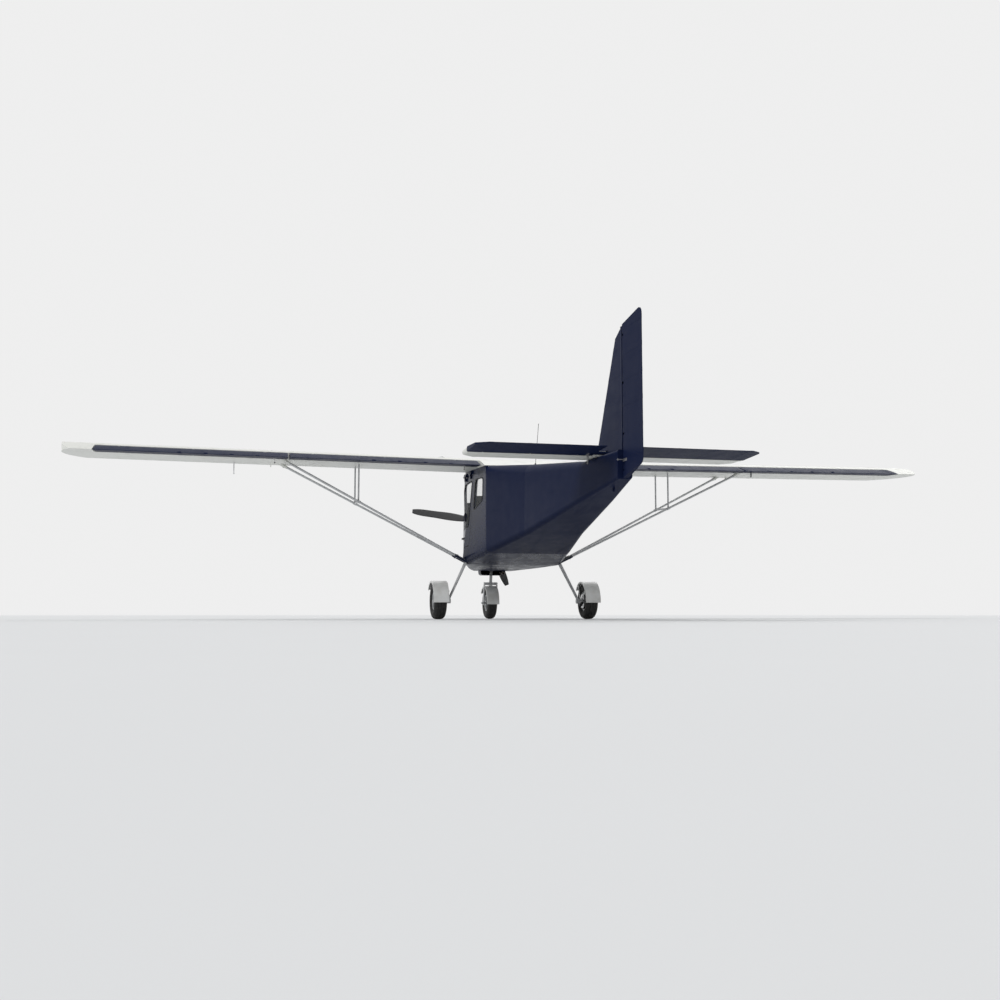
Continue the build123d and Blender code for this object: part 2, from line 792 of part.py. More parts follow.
write_piece(stabiliser, "stabiliser")


def tapered_profile(plane, nose_radius, chord):
    """Control surface section: round nose at the plane's origin, straight to a thin edge."""
    with BuildSketch(plane) as profile:
        with BuildLine():
            CenterArc((0, 0), nose_radius, 90, 180)
            Polyline(
                (0, -nose_radius),
                (chord, -TRAILING_EDGE / 2),
                (chord, TRAILING_EDGE / 2),
                (0, nose_radius),
            )
        make_face()
    return profile.sketch


elevator_profile = tapered_profile(
    elevator_hinge(ELEVATOR_INNER_Y), STABILISER_DEPTH / 2, ELEVATOR_HINGE_X - ELEVATOR_END_X
)
with BuildPart() as elevator:
    extrude(elevator_profile, amount=TAIL_HALF_SPAN - ELEVATOR_INNER_Y)
    with BuildSketch(Plane.XY.offset(STABILISER_Z)):
        with BuildLine():
            Polyline(
                (ELEVATOR_END_X - 1, TAIL_HALF_SPAN - TAIL_CORNER),
                (ELEVATOR_END_X - 1, TAIL_HALF_SPAN + 1),
                (ELEVATOR_END_X + TAIL_CORNER, TAIL_HALF_SPAN + 1),
                close=True,
            )
        make_face()
    extrude(amount=STABILISER_DEPTH, both=True, mode=Mode.SUBTRACT)
    for station in elevator_stations:
        add(hinge_notch(elevator_hinge(station), STABILISER_DEPTH / 2), mode=Mode.SUBTRACT)
        add(hinge_pin(elevator_hinge(station)))
    mirror(about=Plane.XZ)
    with BuildSketch(elevator_hinge(0)):
        Circle(TORQUE_TUBE_RADIUS)
    extrude(amount=ELEVATOR_INNER_Y + 1, both=True)
write_piece(elevator, "elevator")

# Fin, seated on the stabiliser and the tail cone, and the rudder behind both
FIN_REAR_X = RUDDER_HINGE_X + RUDDER_NOSE + COVE_GAP
FIN_SEAT_Z = STABILISER_Z + STABILISER_DEPTH / 2
DECK_Z = STABILISER_Z - STABILISER_DEPTH / 2
TUBE_NOTCH_X = ELEVATOR_HINGE_X - STABILISER_DEPTH / 2 - 2 * RUN_GAP
with BuildPart() as fin:
    with BuildSketch(Plane.XZ):
        with BuildLine():
            Polyline(
                (FIN_FOOT_X, FIN_SEAT_Z),
                (FIN_KNEE_X, FIN_KNEE_Z),
                (FIN_REAR_X, FIN_TOP_Z),
                (FIN_REAR_X, DECK_Z),
                (TUBE_NOTCH_X, DECK_Z),
                (TUBE_NOTCH_X, FIN_SEAT_Z),
                close=True,
            )
        make_face()
    extrude(amount=FIN_DEPTH / 2, both=True)
    slope = fin.edges().filter_by(GeomType.LINE).filter_by(Axis.Y, reverse=True)
    nose_edges = [
        edge
        for edge in slope
        if edge.center().X > FIN_REAR_X + 1 and edge.center().Z > FIN_SEAT_Z + 1
        and edge.length > FIN_DEPTH
    ]
    fillet(nose_edges, FIN_DEPTH / 2 - TRAILING_EDGE)
    for height in RUDDER_HINGE_Z[1:]:
        add(hinge_lug(rudder_hinge(height), RUDDER_NOSE + COVE_GAP + LUG_ROOT))
write_piece(fin, "fin")

rudder_profile = tapered_profile(
    rudder_hinge(RUDDER_LOW_Z), RUDDER_NOSE, RUDDER_HINGE_X - RUDDER_END_X
)
with BuildPart() as rudder:
    extrude(rudder_profile, amount=RUDDER_TOP_Z - RUDDER_LOW_Z)
    with BuildSketch(Plane.XZ) as side:
        with BuildLine():
            Polyline(
                (RUDDER_HINGE_X + RUDDER_NOSE, RUDDER_LOW_Z),
                (RUDDER_END_X - 1, RUDDER_HEEL_Z),
                (RUDDER_END_X - 1, RUDDER_TOP_Z),
                (RUDDER_HINGE_X + RUDDER_NOSE, FIN_TOP_Z),
                close=True,
            )
        make_face()
        fillet(side.vertices().group_by(Axis.X)[0], RUDDER_CORNER)
    extrude(amount=FIN_DEPTH, both=True, mode=Mode.INTERSECT)
    for height in RUDDER_HINGE_Z:
        add(hinge_notch(rudder_hinge(height), RUDDER_NOSE), mode=Mode.SUBTRACT)
        add(hinge_pin(rudder_hinge(height)))
write_piece(rudder, "rudder")

# Cowl in two halves, closed in front round the propeller shaft
cowl_body = fuselage_body(COWL_FRAMES)
COWL_FRONT = COWL_FRAMES[-1]
cowl_lining = fuselage_body(COWL_FRAMES[:-1] + ((COWL_FRONT[0] - SKIN,) + COWL_FRONT[1:],), SKIN)
chin_duct = fuselage_body(CHIN_FRAMES)
CHIN_MOUTH = CHIN_FRAMES[0]
chin_lining = fuselage_body(((CHIN_MOUTH[0] - PLATE,) + CHIN_MOUTH[1:],) + CHIN_FRAMES[1:], SKIN)
STEER = Plane(
    origin=(NOSE_AXLE_X, 0, NOSE_TYRE_RADIUS),
    x_dir=(cos(radians(NOSE_RAKE)), 0, sin(radians(NOSE_RAKE))),
    z_dir=(-sin(radians(NOSE_RAKE)), 0, cos(radians(NOSE_RAKE))),
)


def cowl_half(low_z, high_z):
    """Part of the cowl between two heights, with its duct and the holes in its front wall."""
    with BuildPart() as half:
        add(cowl_body)
        add(chin_duct)
        add(cowl_lining, mode=Mode.SUBTRACT)
        add(chin_lining, mode=Mode.SUBTRACT)
        with BuildSketch(Plane.YZ.offset(FIREWALL_X)):
            with Locations((0, (low_z + high_z) / 2)):
                Rectangle(2 * WING_ROOT_Y, high_z - low_z)
        extrude(amount=SPINNER_TIP_X - FIREWALL_X, mode=Mode.INTERSECT)
        with BuildSketch(Plane.YZ.offset(ENGINE_FRONT_X)):
            with Locations((0, PROP_Z)):
                Circle(SHAFT_HOLE_RADIUS)
            with Locations((0, INTAKE_Z)):
                SlotOverall(INTAKE_WIDTH, INTAKE_HEIGHT)
        extrude(amount=SPINNER_TIP_X - ENGINE_FRONT_X, mode=Mode.SUBTRACT)
        with BuildSketch(STEER.offset(FORK_CROWN_Z)):
            Circle(STEM_RADIUS + STEM_HOLE_GAP)
        extrude(amount=BEARING_TOP - FORK_CROWN_Z, mode=Mode.SUBTRACT)
    return half


write_piece(cowl_half(COWL_SPLIT_Z, 2 * COWL_SPLIT_Z), "cowl_upper")
write_piece(cowl_half(0, COWL_SPLIT_Z), "cowl_lower")

# Engine as one block on four mount tubes, bored for the propeller shaft
with BuildPart() as engine_block:
    with BuildSketch(Plane.YZ.offset(ENGINE_BACK_X)) as block:
        with Locations((0, (ENGINE_LOW_Z + ENGINE_HIGH_Z) / 2)):
            Rectangle(2 * ENGINE_HALF_WIDTH, ENGINE_HIGH_Z - ENGINE_LOW_Z)
        fillet(block.vertices(), ENGINE_CORNER)
    extrude(amount=ENGINE_FRONT_X - ENGINE_BACK_X)
    with BuildSketch(Plane.YZ.offset(FIREWALL_X + PLATE)):
        with Locations((0, (ENGINE_LOW_Z + ENGINE_HIGH_Z) / 2)):
            with GridLocations(MOUNT_SPREAD_Y, MOUNT_SPREAD_Z, 2, 2):
                Circle(MOUNT_TUBE_RADIUS)
    extrude(amount=ENGINE_BACK_X + MOUNT_ROOT - FIREWALL_X - PLATE)
    with BuildSketch(Plane.YZ.offset(ENGINE_FRONT_X)):
        with Locations((0, PROP_Z)):
            Circle(SHAFT_RADIUS + PIN_FIT)
    extrude(amount=-SHAFT_DEPTH, mode=Mode.SUBTRACT)
write_piece(engine_block, "engine_block")

# Silencer under the engine on two headers, with a tail pipe out through the chin's duct
with BuildPart() as exhaust:
    with BuildSketch(Plane.YZ.offset(SILENCER_X[0])):
        with Locations((EXHAUST_Y, SILENCER_Z)):
            Circle(SILENCER_RADIUS)
    extrude(amount=SILENCER_X[1] - SILENCER_X[0])
    fillet(exhaust.edges().filter_by(GeomType.CIRCLE), SILENCER_CORNER)
    with BuildSketch(Plane.XY.offset(SILENCER_Z)):
        with Locations(*[(header_x, EXHAUST_Y) for header_x in HEADER_X]):
            Circle(PIPE_RADIUS)
    extrude(amount=ENGINE_LOW_Z - SILENCER_Z)
    with BuildLine() as route:
        FilletPolyline(*[(x, EXHAUST_Y, z) for x, z in TAIL_PIPE], radius=PIPE_BEND)
    with BuildSketch(Plane.XY.offset(TAIL_PIPE[0][1])):
        with Locations((TAIL_PIPE[0][0], EXHAUST_Y)):
            Circle(PIPE_RADIUS)
    sweep(path=route.line)
    pipe_end = Plane(origin=route.line @ 1, z_dir=route.line % 1)
    with BuildSketch(pipe_end):
        Circle(PIPE_RADIUS - PIPE_WALL)
    extrude(amount=-PIPE_BORE, mode=Mode.SUBTRACT)
write_piece(exhaust, "exhaust")


# Propeller: shaft, hub and three twisted blades in one piece
def blade_plane(angle, radius, pitch):
    """Plane across a blade: normal outward, x along the chord turned by the pitch."""
    turn = radians(angle)
    out = Vector(0, cos(turn), sin(turn))
    along = Vector(0, -sin(turn), cos(turn))
    chord = along * cos(radians(pitch)) + Vector(1, 0, 0) * sin(radians(pitch))
    return Plane(origin=Vector(PROP_X, 0, PROP_Z) + out * radius, x_dir=chord, z_dir=out)


def blade_section(angle, section):
    """Section of a blade at one radius."""
    radius, chord, thickness, pitch = section
    with BuildSketch(blade_plane(angle, radius, pitch)) as outline:
        Ellipse(chord / 2, thickness / 2)
    return outline.sketch


with BuildPart() as propeller:
    with BuildSketch(Plane.YZ.offset(PROP_X - HUB_LENGTH / 2)):
        with Locations((0, PROP_Z)):
            Circle(HUB_RADIUS)
    extrude(amount=HUB_LENGTH)
    with BuildSketch(Plane.YZ.offset(ENGINE_FRONT_X - SHAFT_DEPTH + RUN_GAP)):
        with Locations((0, PROP_Z)):
            Circle(SHAFT_RADIUS)
    extrude(amount=PROP_X - ENGINE_FRONT_X + SHAFT_DEPTH - RUN_GAP)
    for angle in PROP_ANGLES:
        loft([blade_section(angle, section) for section in BLADE_SECTIONS])
write_piece(propeller, "propeller")

SPINNER_BACK_X = PROP_X - HUB_LENGTH / 2 - GLASS


def spinner_profile(inset):
    """Half of the spinner in side view: flat back, quarter ellipse to the tip."""
    with BuildSketch(Plane.XZ) as profile:
        with BuildLine():
            back = SPINNER_BACK_X + inset
            length = SPINNER_TIP_X - inset - back
            EllipticalCenterArc((back, PROP_Z), length, SPINNER_RADIUS - inset, 0, arc_size=90)
            Polyline(
                (back, PROP_Z + SPINNER_RADIUS - inset), (back, PROP_Z), (back + length, PROP_Z)
            )
        make_face()
    return profile.sketch


prop_axis = Axis((PROP_X, 0, PROP_Z), (1, 0, 0))
with BuildPart() as spinner:
    revolve(spinner_profile(0), axis=prop_axis)
    revolve(spinner_profile(GLASS), axis=prop_axis, mode=Mode.SUBTRACT)
    for angle in PROP_ANGLES:
        with BuildSketch(blade_plane(angle, HUB_RADIUS, 0)):
            Circle(BLADE_HOLE_RADIUS)
        extrude(amount=SPINNER_RADIUS, mode=Mode.SUBTRACT)
    with BuildSketch(Plane.YZ.offset(SPINNER_BACK_X)):
        with Locations((0, PROP_Z)):
            Circle(SHAFT_RADIUS + PIN_FIT)
    extrude(amount=GLASS, mode=Mode.SUBTRACT)
write_piece(spinner, "spinner")


# Wheels
def wheel_frame(centre):
    """Plane through a wheel's axis: x along the axle to port, y up."""
    return Plane(origin=centre, x_dir=(0, 1, 0), z_dir=(1, 0, 0))


def write_wheel(name, centre, radius, width):
    """Tyre and rim of one wheel."""
    axle = Axis(centre, (0, 1, 0))
    seat = radius * RIM_SHARE
    bead = width * RIM_WIDTH_SHARE / 2
    shoulder = (SHOULDER_WIDTH_SHARE * width, SHOULDER_RADIUS_SHARE * radius)
    with BuildPart() as tyre:
        with BuildSketch(wheel_frame(centre)):
            with BuildLine():
                Line((-bead, seat), (bead, seat))
                ThreePointArc((bead, seat), (width / 2, (seat + radius) / 2), shoulder)
                ThreePointArc(shoulder, (0, radius), (-shoulder[0], shoulder[1]))
                ThreePointArc(
                    (-shoulder[0], shoulder[1]), (-width / 2, (seat + radius) / 2), (-bead, seat)
                )
            make_face()
        revolve(axis=axle)
    write_piece(tyre, f"tyre_{name}")
    bore = AXLE_RADIUS + PIN_FIT
    with BuildPart() as rim:
        with BuildSketch(wheel_frame(centre)):
            with Locations((0, (bore + bore + HUB_WALL) / 2)):
                Rectangle(HUB_WIDTH, HUB_WALL)
            with Locations((0, (bore + seat) / 2 + HUB_WALL / 4)):
                Rectangle(WEB_THICK, seat - bore - HUB_WALL / 2)
            with Locations((0, seat - RIM_THICK / 2)):
                Rectangle(2 * bead, RIM_THICK)
        revolve(axis=axle)
        with BuildSketch(Plane(origin=centre, x_dir=(1, 0, 0), z_dir=(0, 1, 0))):
            with PolarLocations((bore + HUB_WALL + seat - RIM_THICK) / 2, WEB_HOLES):
                Circle(WEB_HOLE_RADIUS)
        extrude(amount=WEB_THICK, both=True, mode=Mode.SUBTRACT)
    write_piece(rim, f"rim_{name}")


for side_name, side in (("left", 1), ("right", -1)):
    main_centre = (MAIN_AXLE_X, side * MAIN_TRACK_Y, MAIN_TYRE_RADIUS)
    write_wheel(side_name, main_centre, MAIN_TYRE_RADIUS, MAIN_TYRE_WIDTH)
write_wheel("nose", (NOSE_AXLE_X, 0, NOSE_TYRE_RADIUS), NOSE_TYRE_RADIUS, NOSE_TYRE_WIDTH)


# Mudguards
def guard(centre, radius, width):
    """Channel over the top and rear of a tyre."""
    start = radians(GUARD_FRONT)
    half = width / 2 + GUARD_GAP
    inner = radius + GUARD_GAP
    plane = Plane(origin=centre, x_dir=(0, 1, 0), z_dir=(sin(start), 0, -cos(start)))
    with BuildPart() as channel:
        with BuildSketch(plane):
            with Locations((0, inner + (GUARD_SKIN - GUARD_SIDE) / 2)):
                Rectangle(2 * half, GUARD_SIDE + GUARD_SKIN)
            with Locations((0, inner - GUARD_SIDE / 2)):
                Rectangle(2 * half - 2 * GUARD_SKIN, GUARD_SIDE, mode=Mode.SUBTRACT)
        revolve(axis=Axis(centre, (0, -1, 0)), revolution_arc=GUARD_REAR - GUARD_FRONT)
    return channel.part


main_guard = guard(
    (MAIN_AXLE_X, MAIN_TRACK_Y, MAIN_TYRE_RADIUS), MAIN_TYRE_RADIUS, MAIN_TYRE_WIDTH
)
STAY_Y = MAIN_TRACK_Y - MAIN_TYRE_WIDTH / 2 - GUARD_GAP
with BuildPart() as main_mudguards:
    add(main_guard)
    with BuildSketch(
        Plane(origin=(MAIN_AXLE_X, STAY_Y, MAIN_TYRE_RADIUS), x_dir=(1, 0, 0), z_dir=(0, -1, 0))
    ):
        Circle(BOSS_RADIUS)
        for stay_angle in STAY_ANGLES:
            with Locations(Location((0, 0), stay_angle)):
                with Locations((MAIN_TYRE_RADIUS / 2, 0)):
                    Rectangle(MAIN_TYRE_RADIUS + 2 * GUARD_GAP - GUARD_SKIN, STAY_WIDTH)
        Circle(AXLE_RADIUS + PIN_FIT, mode=Mode.SUBTRACT)
    extrude(amount=STAY_THICK)
    mirror(about=Plane.XZ)
write_piece(main_mudguards, "main_mudguards")

# Main legs with their axles, seated under the belly corners
with BuildPart() as main_legs:
    leg_root = Vector(LEG_ROOT_X, LEG_ROOT_Y, LEG_ROOT_Z)
    leg_foot = Vector(MAIN_AXLE_X, LEG_FOOT_Y, LEG_FOOT_Z)
    leg_plane = Plane(origin=leg_root, x_dir=(1, 0, 0), z_dir=leg_foot - leg_root)
    with BuildSketch(leg_plane):
        Ellipse(LEG_ROOT_CHORD / 2, LEG_ROOT_DEPTH / 2)
    with BuildSketch(leg_plane.offset((leg_foot - leg_root).length)):
        Ellipse(LEG_FOOT_CHORD / 2, LEG_FOOT_DEPTH / 2)
    loft()
    add([cabin_hull, floor_pan.part], mode=Mode.SUBTRACT)
    boss_plane = Plane(
        origin=(MAIN_AXLE_X, STAY_Y - STAY_THICK, MAIN_TYRE_RADIUS), z_dir=(0, 1, 0)
    )
    with BuildSketch(boss_plane):
        Circle(BOSS_RADIUS)
    extrude(amount=-BOSS_LENGTH)
    with BuildSketch(boss_plane):
        Circle(AXLE_RADIUS)
    extrude(amount=MAIN_TRACK_Y + HUB_WIDTH / 2 + AXLE_END - STAY_Y + STAY_THICK)
    mirror(about=Plane.XZ)
write_piece(main_legs, "main_legs")

# Nose gear: bearing tube on the firewall, and the fork that turns in it
with BuildPart() as nose_bearing:
    for bracket_z in BRACKET_Z:
        with BuildSketch(Plane.YZ.offset(FIREWALL_X + PLATE)):
            with Locations((0, bracket_z)):
                Rectangle(BRACKET_WIDTH, BRACKET_HEIGHT)
        extrude(amount=BRACKET_REACH)
    with BuildSketch(STEER.offset(BEARING_FOOT)):
        Circle(STEM_RADIUS + PIN_FIT + BEARING_WALL)
    extrude(amount=BEARING_TOP - BEARING_FOOT)
    with BuildSketch(STEER.offset(0)):
        Circle(STEM_RADIUS + PIN_FIT)
    extrude(amount=2 * BEARING_TOP, mode=Mode.SUBTRACT)
write_piece(nose_bearing, "nose_bearing")

FORK_INNER = NOSE_TYRE_WIDTH / 2 + GUARD_GAP + SEAT_GAP
NOSE_AXLE_HALF = FORK_INNER + FORK_PLATE + TOW_PIN_LENGTH
with BuildPart() as nose_fork:
    with BuildSketch(STEER.offset(-FORK_TIP)):
        with Locations((0, FORK_INNER + FORK_PLATE / 2), (0, -FORK_INNER - FORK_PLATE / 2)):
            Rectangle(FORK_CHORD, FORK_PLATE)
    extrude(amount=FORK_CROWN_Z + FORK_TIP)
    with BuildSketch(STEER.offset(FORK_CROWN_Z)):
        RectangleRounded(FORK_CHORD, 2 * (FORK_INNER + FORK_PLATE), FORK_CORNER)
    extrude(amount=CROWN_HEIGHT)
    with BuildSketch(STEER.offset(FORK_CROWN_Z)):
        Circle(STEM_RADIUS)
    extrude(amount=STEM_TOP - FORK_CROWN_Z)
    with BuildSketch(STEER.offset(BEARING_FOOT - SEAT_GAP)):
        Circle(STEM_RADIUS + BEARING_WALL)
    extrude(amount=-COLLAR_HEIGHT)
    with BuildSketch(
        Plane(origin=(NOSE_AXLE_X, -NOSE_AXLE_HALF, NOSE_TYRE_RADIUS), z_dir=(0, 1, 0))
    ):
        Circle(AXLE_RADIUS)
    extrude(amount=2 * NOSE_AXLE_HALF)
write_piece(nose_fork, "nose_fork")

GUARD_TOP = NOSE_TYRE_RADIUS + GUARD_GAP + GUARD_SKIN
with BuildPart() as nose_mudguard:
    add(guard((NOSE_AXLE_X, 0, NOSE_TYRE_RADIUS), NOSE_TYRE_RADIUS, NOSE_TYRE_WIDTH))
    with BuildSketch(STEER.offset(FORK_CROWN_Z)):
        Rectangle(GUARD_PAD, GUARD_PAD)
    extrude(amount=GUARD_TOP - GUARD_SKIN / 2 - FORK_CROWN_Z)
write_piece(nose_mudguard, "nose_mudguard")

# Wing struts between their sockets, and the jury struts that steady them
with BuildPart() as front_struts:
    add(strut_bar(FRONT_STRUT_X, LOW_SOCKET_LENGTH, strut_length(FRONT_STRUT_X) - SOCKET_LENGTH, 0))
    mirror(about=Plane.XZ)
write_piece(front_struts, "front_struts")

with BuildPart() as rear_struts:
    add(strut_bar(REAR_STRUT_X, LOW_SOCKET_LENGTH, strut_length(REAR_STRUT_X) - SOCKET_LENGTH, 0))
    mirror(about=Plane.XZ)
write_piece(rear_struts, "rear_struts")


def jury_point(strut_x):
    """Point on a strut's axis where the jury strut takes hold."""
    low, high = strut_ends(strut_x)
    return low + (high - low) * ((JURY_Y - low.Y) / (high.Y - low.Y))


with BuildPart() as jury_struts:
    for strut_x in (FRONT_STRUT_X, REAR_STRUT_X):
        reach = (jury_point(strut_x) - strut_ends(strut_x)[0]).length
        half = COLLAR_LENGTH / 2
        add(strut_bar(strut_x, reach - half, reach + half, COLLAR_WALL))
        with BuildSketch(Plane(origin=jury_point(strut_x), z_dir=(0, 0, 1))):
            Circle(JURY_RADIUS)
        extrude(amount=WING_NOSE_Z + NOSE_RISE / 2 - jury_point(strut_x).Z)
    link = jury_point(REAR_STRUT_X) - jury_point(FRONT_STRUT_X)
    with BuildSketch(Plane(origin=jury_point(FRONT_STRUT_X), z_dir=link)):
        Circle(JURY_RADIUS)
    extrude(amount=link.length)
    for strut_x in (FRONT_STRUT_X, REAR_STRUT_X):
        add(strut_bar(strut_x, 0, strut_length(strut_x), PIN_FIT), mode=Mode.SUBTRACT)
    add(wing_left.part, mode=Mode.SUBTRACT)
    mirror(about=Plane.XZ)
write_piece(jury_struts, "jury_struts")

# Cabin fittings, trimmed to the lining where they meet it
with BuildPart() as instrument_panel:
    with BuildSketch(Plane.XZ):
        with BuildLine():
            Polyline(
                (PANEL_X, PANEL_LOW_Z),
                (PANEL_X + PANEL_THICK, PANEL_LOW_Z),
                (PANEL_X + PANEL_THICK, PANEL_HIGH_Z - PANEL_THICK),
                (FIREWALL_X, PANEL_HIGH_Z - 3 * PANEL_THICK),
                (FIREWALL_X, PANEL_HIGH_Z - 2 * PANEL_THICK),
                (PANEL_X, PANEL_HIGH_Z),
                close=True,
            )
        make_face()
    extrude(amount=WING_ROOT_Y, both=True)
    add(cabin_lining, mode=Mode.INTERSECT)
write_piece(instrument_panel, "instrument_panel")

with BuildPart() as control_stick:
    with BuildSketch(Plane.XY.offset(CABIN_FRAMES[1][3])):
        with Locations((STICK_X, 0)):
            Circle(STICK_RADIUS)
    extrude(amount=STICK_TOP_Z - CABIN_FRAMES[1][3])
    with BuildSketch(Plane.XY.offset(STICK_TOP_Z - GRIP_LENGTH)):
        with Locations((STICK_X, 0)):
            Circle(GRIP_RADIUS)
    extrude(amount=GRIP_LENGTH)
    add(cabin_lining, mode=Mode.INTERSECT)
write_piece(control_stick, "control_stick")

with BuildPart() as seat_frame:
    with BuildSketch(Plane.XZ):
        with BuildLine():
            Polyline(
                (SEAT_FRONT_X - SEAT_SHEET, 0),
                (SEAT_FRONT_X, 0),
                (SEAT_FRONT_X, SEAT_Z),
                (SEAT_BACK_X + SEAT_SHEET, SEAT_Z),
                (BACKREST_TOP[0] + SEAT_SHEET, BACKREST_TOP[1]),
                BACKREST_TOP,
                (SEAT_BACK_X, SEAT_Z - SEAT_SHEET),
                (SEAT_BACK_X, 0),
                (SEAT_BACK_X + SEAT_SHEET, 0),
                (SEAT_BACK_X + SEAT_SHEET, SEAT_Z - SEAT_SHEET),
                (SEAT_FRONT_X - SEAT_SHEET, SEAT_Z - SEAT_SHEET),
                close=True,
            )
        make_face()
    extrude(amount=SEAT_HALF_WIDTH, both=True)
    add(cabin_lining, mode=Mode.INTERSECT)
write_piece(seat_frame, "seat_frame")


def cushion(plane, length):
    """Rounded cushion that rests on a plane's origin and runs along its x."""
    width = CUSHION_OUTER_Y - CUSHION_INNER_Y
    with BuildPart() as pad:
        with BuildSketch(plane.offset(SEAT_GAP)):
            with Locations((length / 2, 0)):
                RectangleRounded(length, width, CUSHION_CORNER)
        extrude(amount=CUSHION_THICK)
        fillet(pad.faces().sort_by(Axis(plane.origin, plane.z_dir))[-1].edges(), CUSHION_EDGE)
    return pad


CUSHION_MID_Y = (CUSHION_INNER_Y + CUSHION_OUTER_Y) / 2
back_top = Vector(BACKREST_TOP[0] + SEAT_SHEET, 0, BACKREST_TOP[1])
back_foot = Vector(SEAT_BACK_X + SEAT_SHEET, 0, SEAT_Z)
back_along = (back_top - back_foot).normalized()
back_out = Vector(back_along.Z, 0, -back_along.X)
base_plane = Plane(
    origin=(SEAT_BACK_X + SEAT_SHEET + CUSHION_THICK + CUSHION_SPACE, CUSHION_MID_Y, SEAT_Z),
    x_dir=(1, 0, 0),
    z_dir=(0, 0, 1),
)
back_plane = Plane(
    origin=back_foot + back_along * CUSHION_SPACE + Vector(0, CUSHION_MID_Y, 0),
    x_dir=back_along,
    z_dir=back_out,
)
write_pair(cushion(base_plane, SEAT_FRONT_X - base_plane.origin.X), "seat_cushion")
write_pair(cushion(back_plane, BACK_CUSHION_LENGTH), "back_cushion")
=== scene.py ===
import json
from contextlib import contextmanager
from functools import cache, partial
from math import cos, pi, radians, sin

import bmesh
import bpy
from mathutils import Matrix, Vector
from mathutils.bvhtree import BVHTree

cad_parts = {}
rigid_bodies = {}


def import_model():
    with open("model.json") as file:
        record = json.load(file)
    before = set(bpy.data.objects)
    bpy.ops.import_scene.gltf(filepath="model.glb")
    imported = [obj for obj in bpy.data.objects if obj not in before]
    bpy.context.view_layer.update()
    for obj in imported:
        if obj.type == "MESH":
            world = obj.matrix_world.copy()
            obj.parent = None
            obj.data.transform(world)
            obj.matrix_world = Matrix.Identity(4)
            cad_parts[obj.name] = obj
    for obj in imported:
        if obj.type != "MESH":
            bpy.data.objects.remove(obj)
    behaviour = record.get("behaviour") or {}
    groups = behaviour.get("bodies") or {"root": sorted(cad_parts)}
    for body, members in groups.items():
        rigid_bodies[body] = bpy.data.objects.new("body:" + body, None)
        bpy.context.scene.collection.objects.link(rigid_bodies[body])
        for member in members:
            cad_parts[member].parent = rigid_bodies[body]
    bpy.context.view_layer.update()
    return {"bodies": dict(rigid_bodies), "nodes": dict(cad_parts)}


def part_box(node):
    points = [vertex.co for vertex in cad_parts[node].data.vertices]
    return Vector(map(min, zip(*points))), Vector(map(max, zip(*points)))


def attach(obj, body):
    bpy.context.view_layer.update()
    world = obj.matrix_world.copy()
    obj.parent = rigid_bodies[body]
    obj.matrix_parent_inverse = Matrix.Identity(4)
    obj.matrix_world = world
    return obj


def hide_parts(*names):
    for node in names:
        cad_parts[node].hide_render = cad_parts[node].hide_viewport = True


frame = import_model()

bl_info = {
    "name": "Strut-Braced Microlight",
    "version": (1, 0, 0),
    "blender": (4, 5, 0),
    "location": "View3D > Sidebar > Microlight",
    "description": "Dresses a packed high-wing microlight with its skins, fittings and finishes",
    "category": "Add Mesh",
}

X_AXIS = Vector((1, 0, 0))
Y_AXIS = Vector((0, 1, 0))
Z_AXIS = Vector((0, 0, 1))
MERGE_DISTANCE = 0.00002


# Settings that a user would change


def colour_setting(name, description, default):
    """Colour property of a settings group."""
    return bpy.props.FloatVectorProperty(
        name=name, description=description, subtype="COLOR", size=3, min=0, max=1, default=default
    )


def length_setting(name, description, default):
    """Length property of a settings group, in metres."""
    return bpy.props.FloatProperty(
        name=name, description=description, default=default, min=0, unit="LENGTH", precision=4
    )


class CoveringSettings(bpy.types.PropertyGroup):
    """Colours of the skins, and sizes of the tapes and the window beads."""

    white: colour_setting("White skin", "Colour of the wings and the stabiliser", (0.70, 0.71, 0.67))
    navy: colour_setting(
        "Navy skin", "Colour of the fuselage, the fin and the moving surfaces", (0.007, 0.012, 0.040)
    )
    tape_width: length_setting("Tape width", "Width of a tape over a rib", 0.036)
    tape_thickness: length_setting("Tape thickness", "How far a tape stands proud", 0.0007)
    bead_radius: length_setting("Bead radius", "Radius of the rubber round a window", 0.005)


class GearSettings(bpy.types.PropertyGroup):
    """Sizes of the wheels' fittings."""

    groove_depth: bpy.props.FloatProperty(
        name="Groove depth",
        description="Depth of a tread groove as a share of the tyre's height",
        default=0.06,
        min=0,
        max=0.2,
    )
    disc_radius: length_setting("Disc radius", "Radius of a brake disc", 0.078)
    rubber: colour_setting("Rubber", "Colour of tyres and seals", (0.018, 0.018, 0.019))


class CabinSettings(bpy.types.PropertyGroup):
    """Colours of the cabin and the form of its cushions."""

    cloth: colour_setting("Seat cloth", "Colour of the cushions", (0.035, 0.037, 0.042))
    lining: colour_setting("Lining", "Colour inside the cabin", (0.16, 0.165, 0.17))
    channel_depth: length_setting("Channel depth", "Depth of a sewn channel in a cushion", 0.007)
    puff: length_setting("Puff", "How far the stuffing may push the cloth out", 0.009)


class StageSettings(bpy.types.PropertyGroup):
    """Floor, lamps and camera."""

    floor: colour_setting("Floor", "Colour of the floor and the backdrop", (0.72, 0.73, 0.74))
    distance: length_setting("Camera distance", "From the aircraft's middle to the camera", 11.5)
    camera_height: length_setting("Camera height", "Height of the camera above the floor", 0.06)
    frame_width: length_setting("Frame width", "Width of the picture at the aircraft", 10.2)


def covering():
    return bpy.context.scene.microlight_covering


def gear():
    return bpy.context.scene.microlight_gear


def cabin():
    return bpy.context.scene.microlight_cabin


def stage():
    return bpy.context.scene.microlight_stage


# Materials, written as Python expressions on node sockets


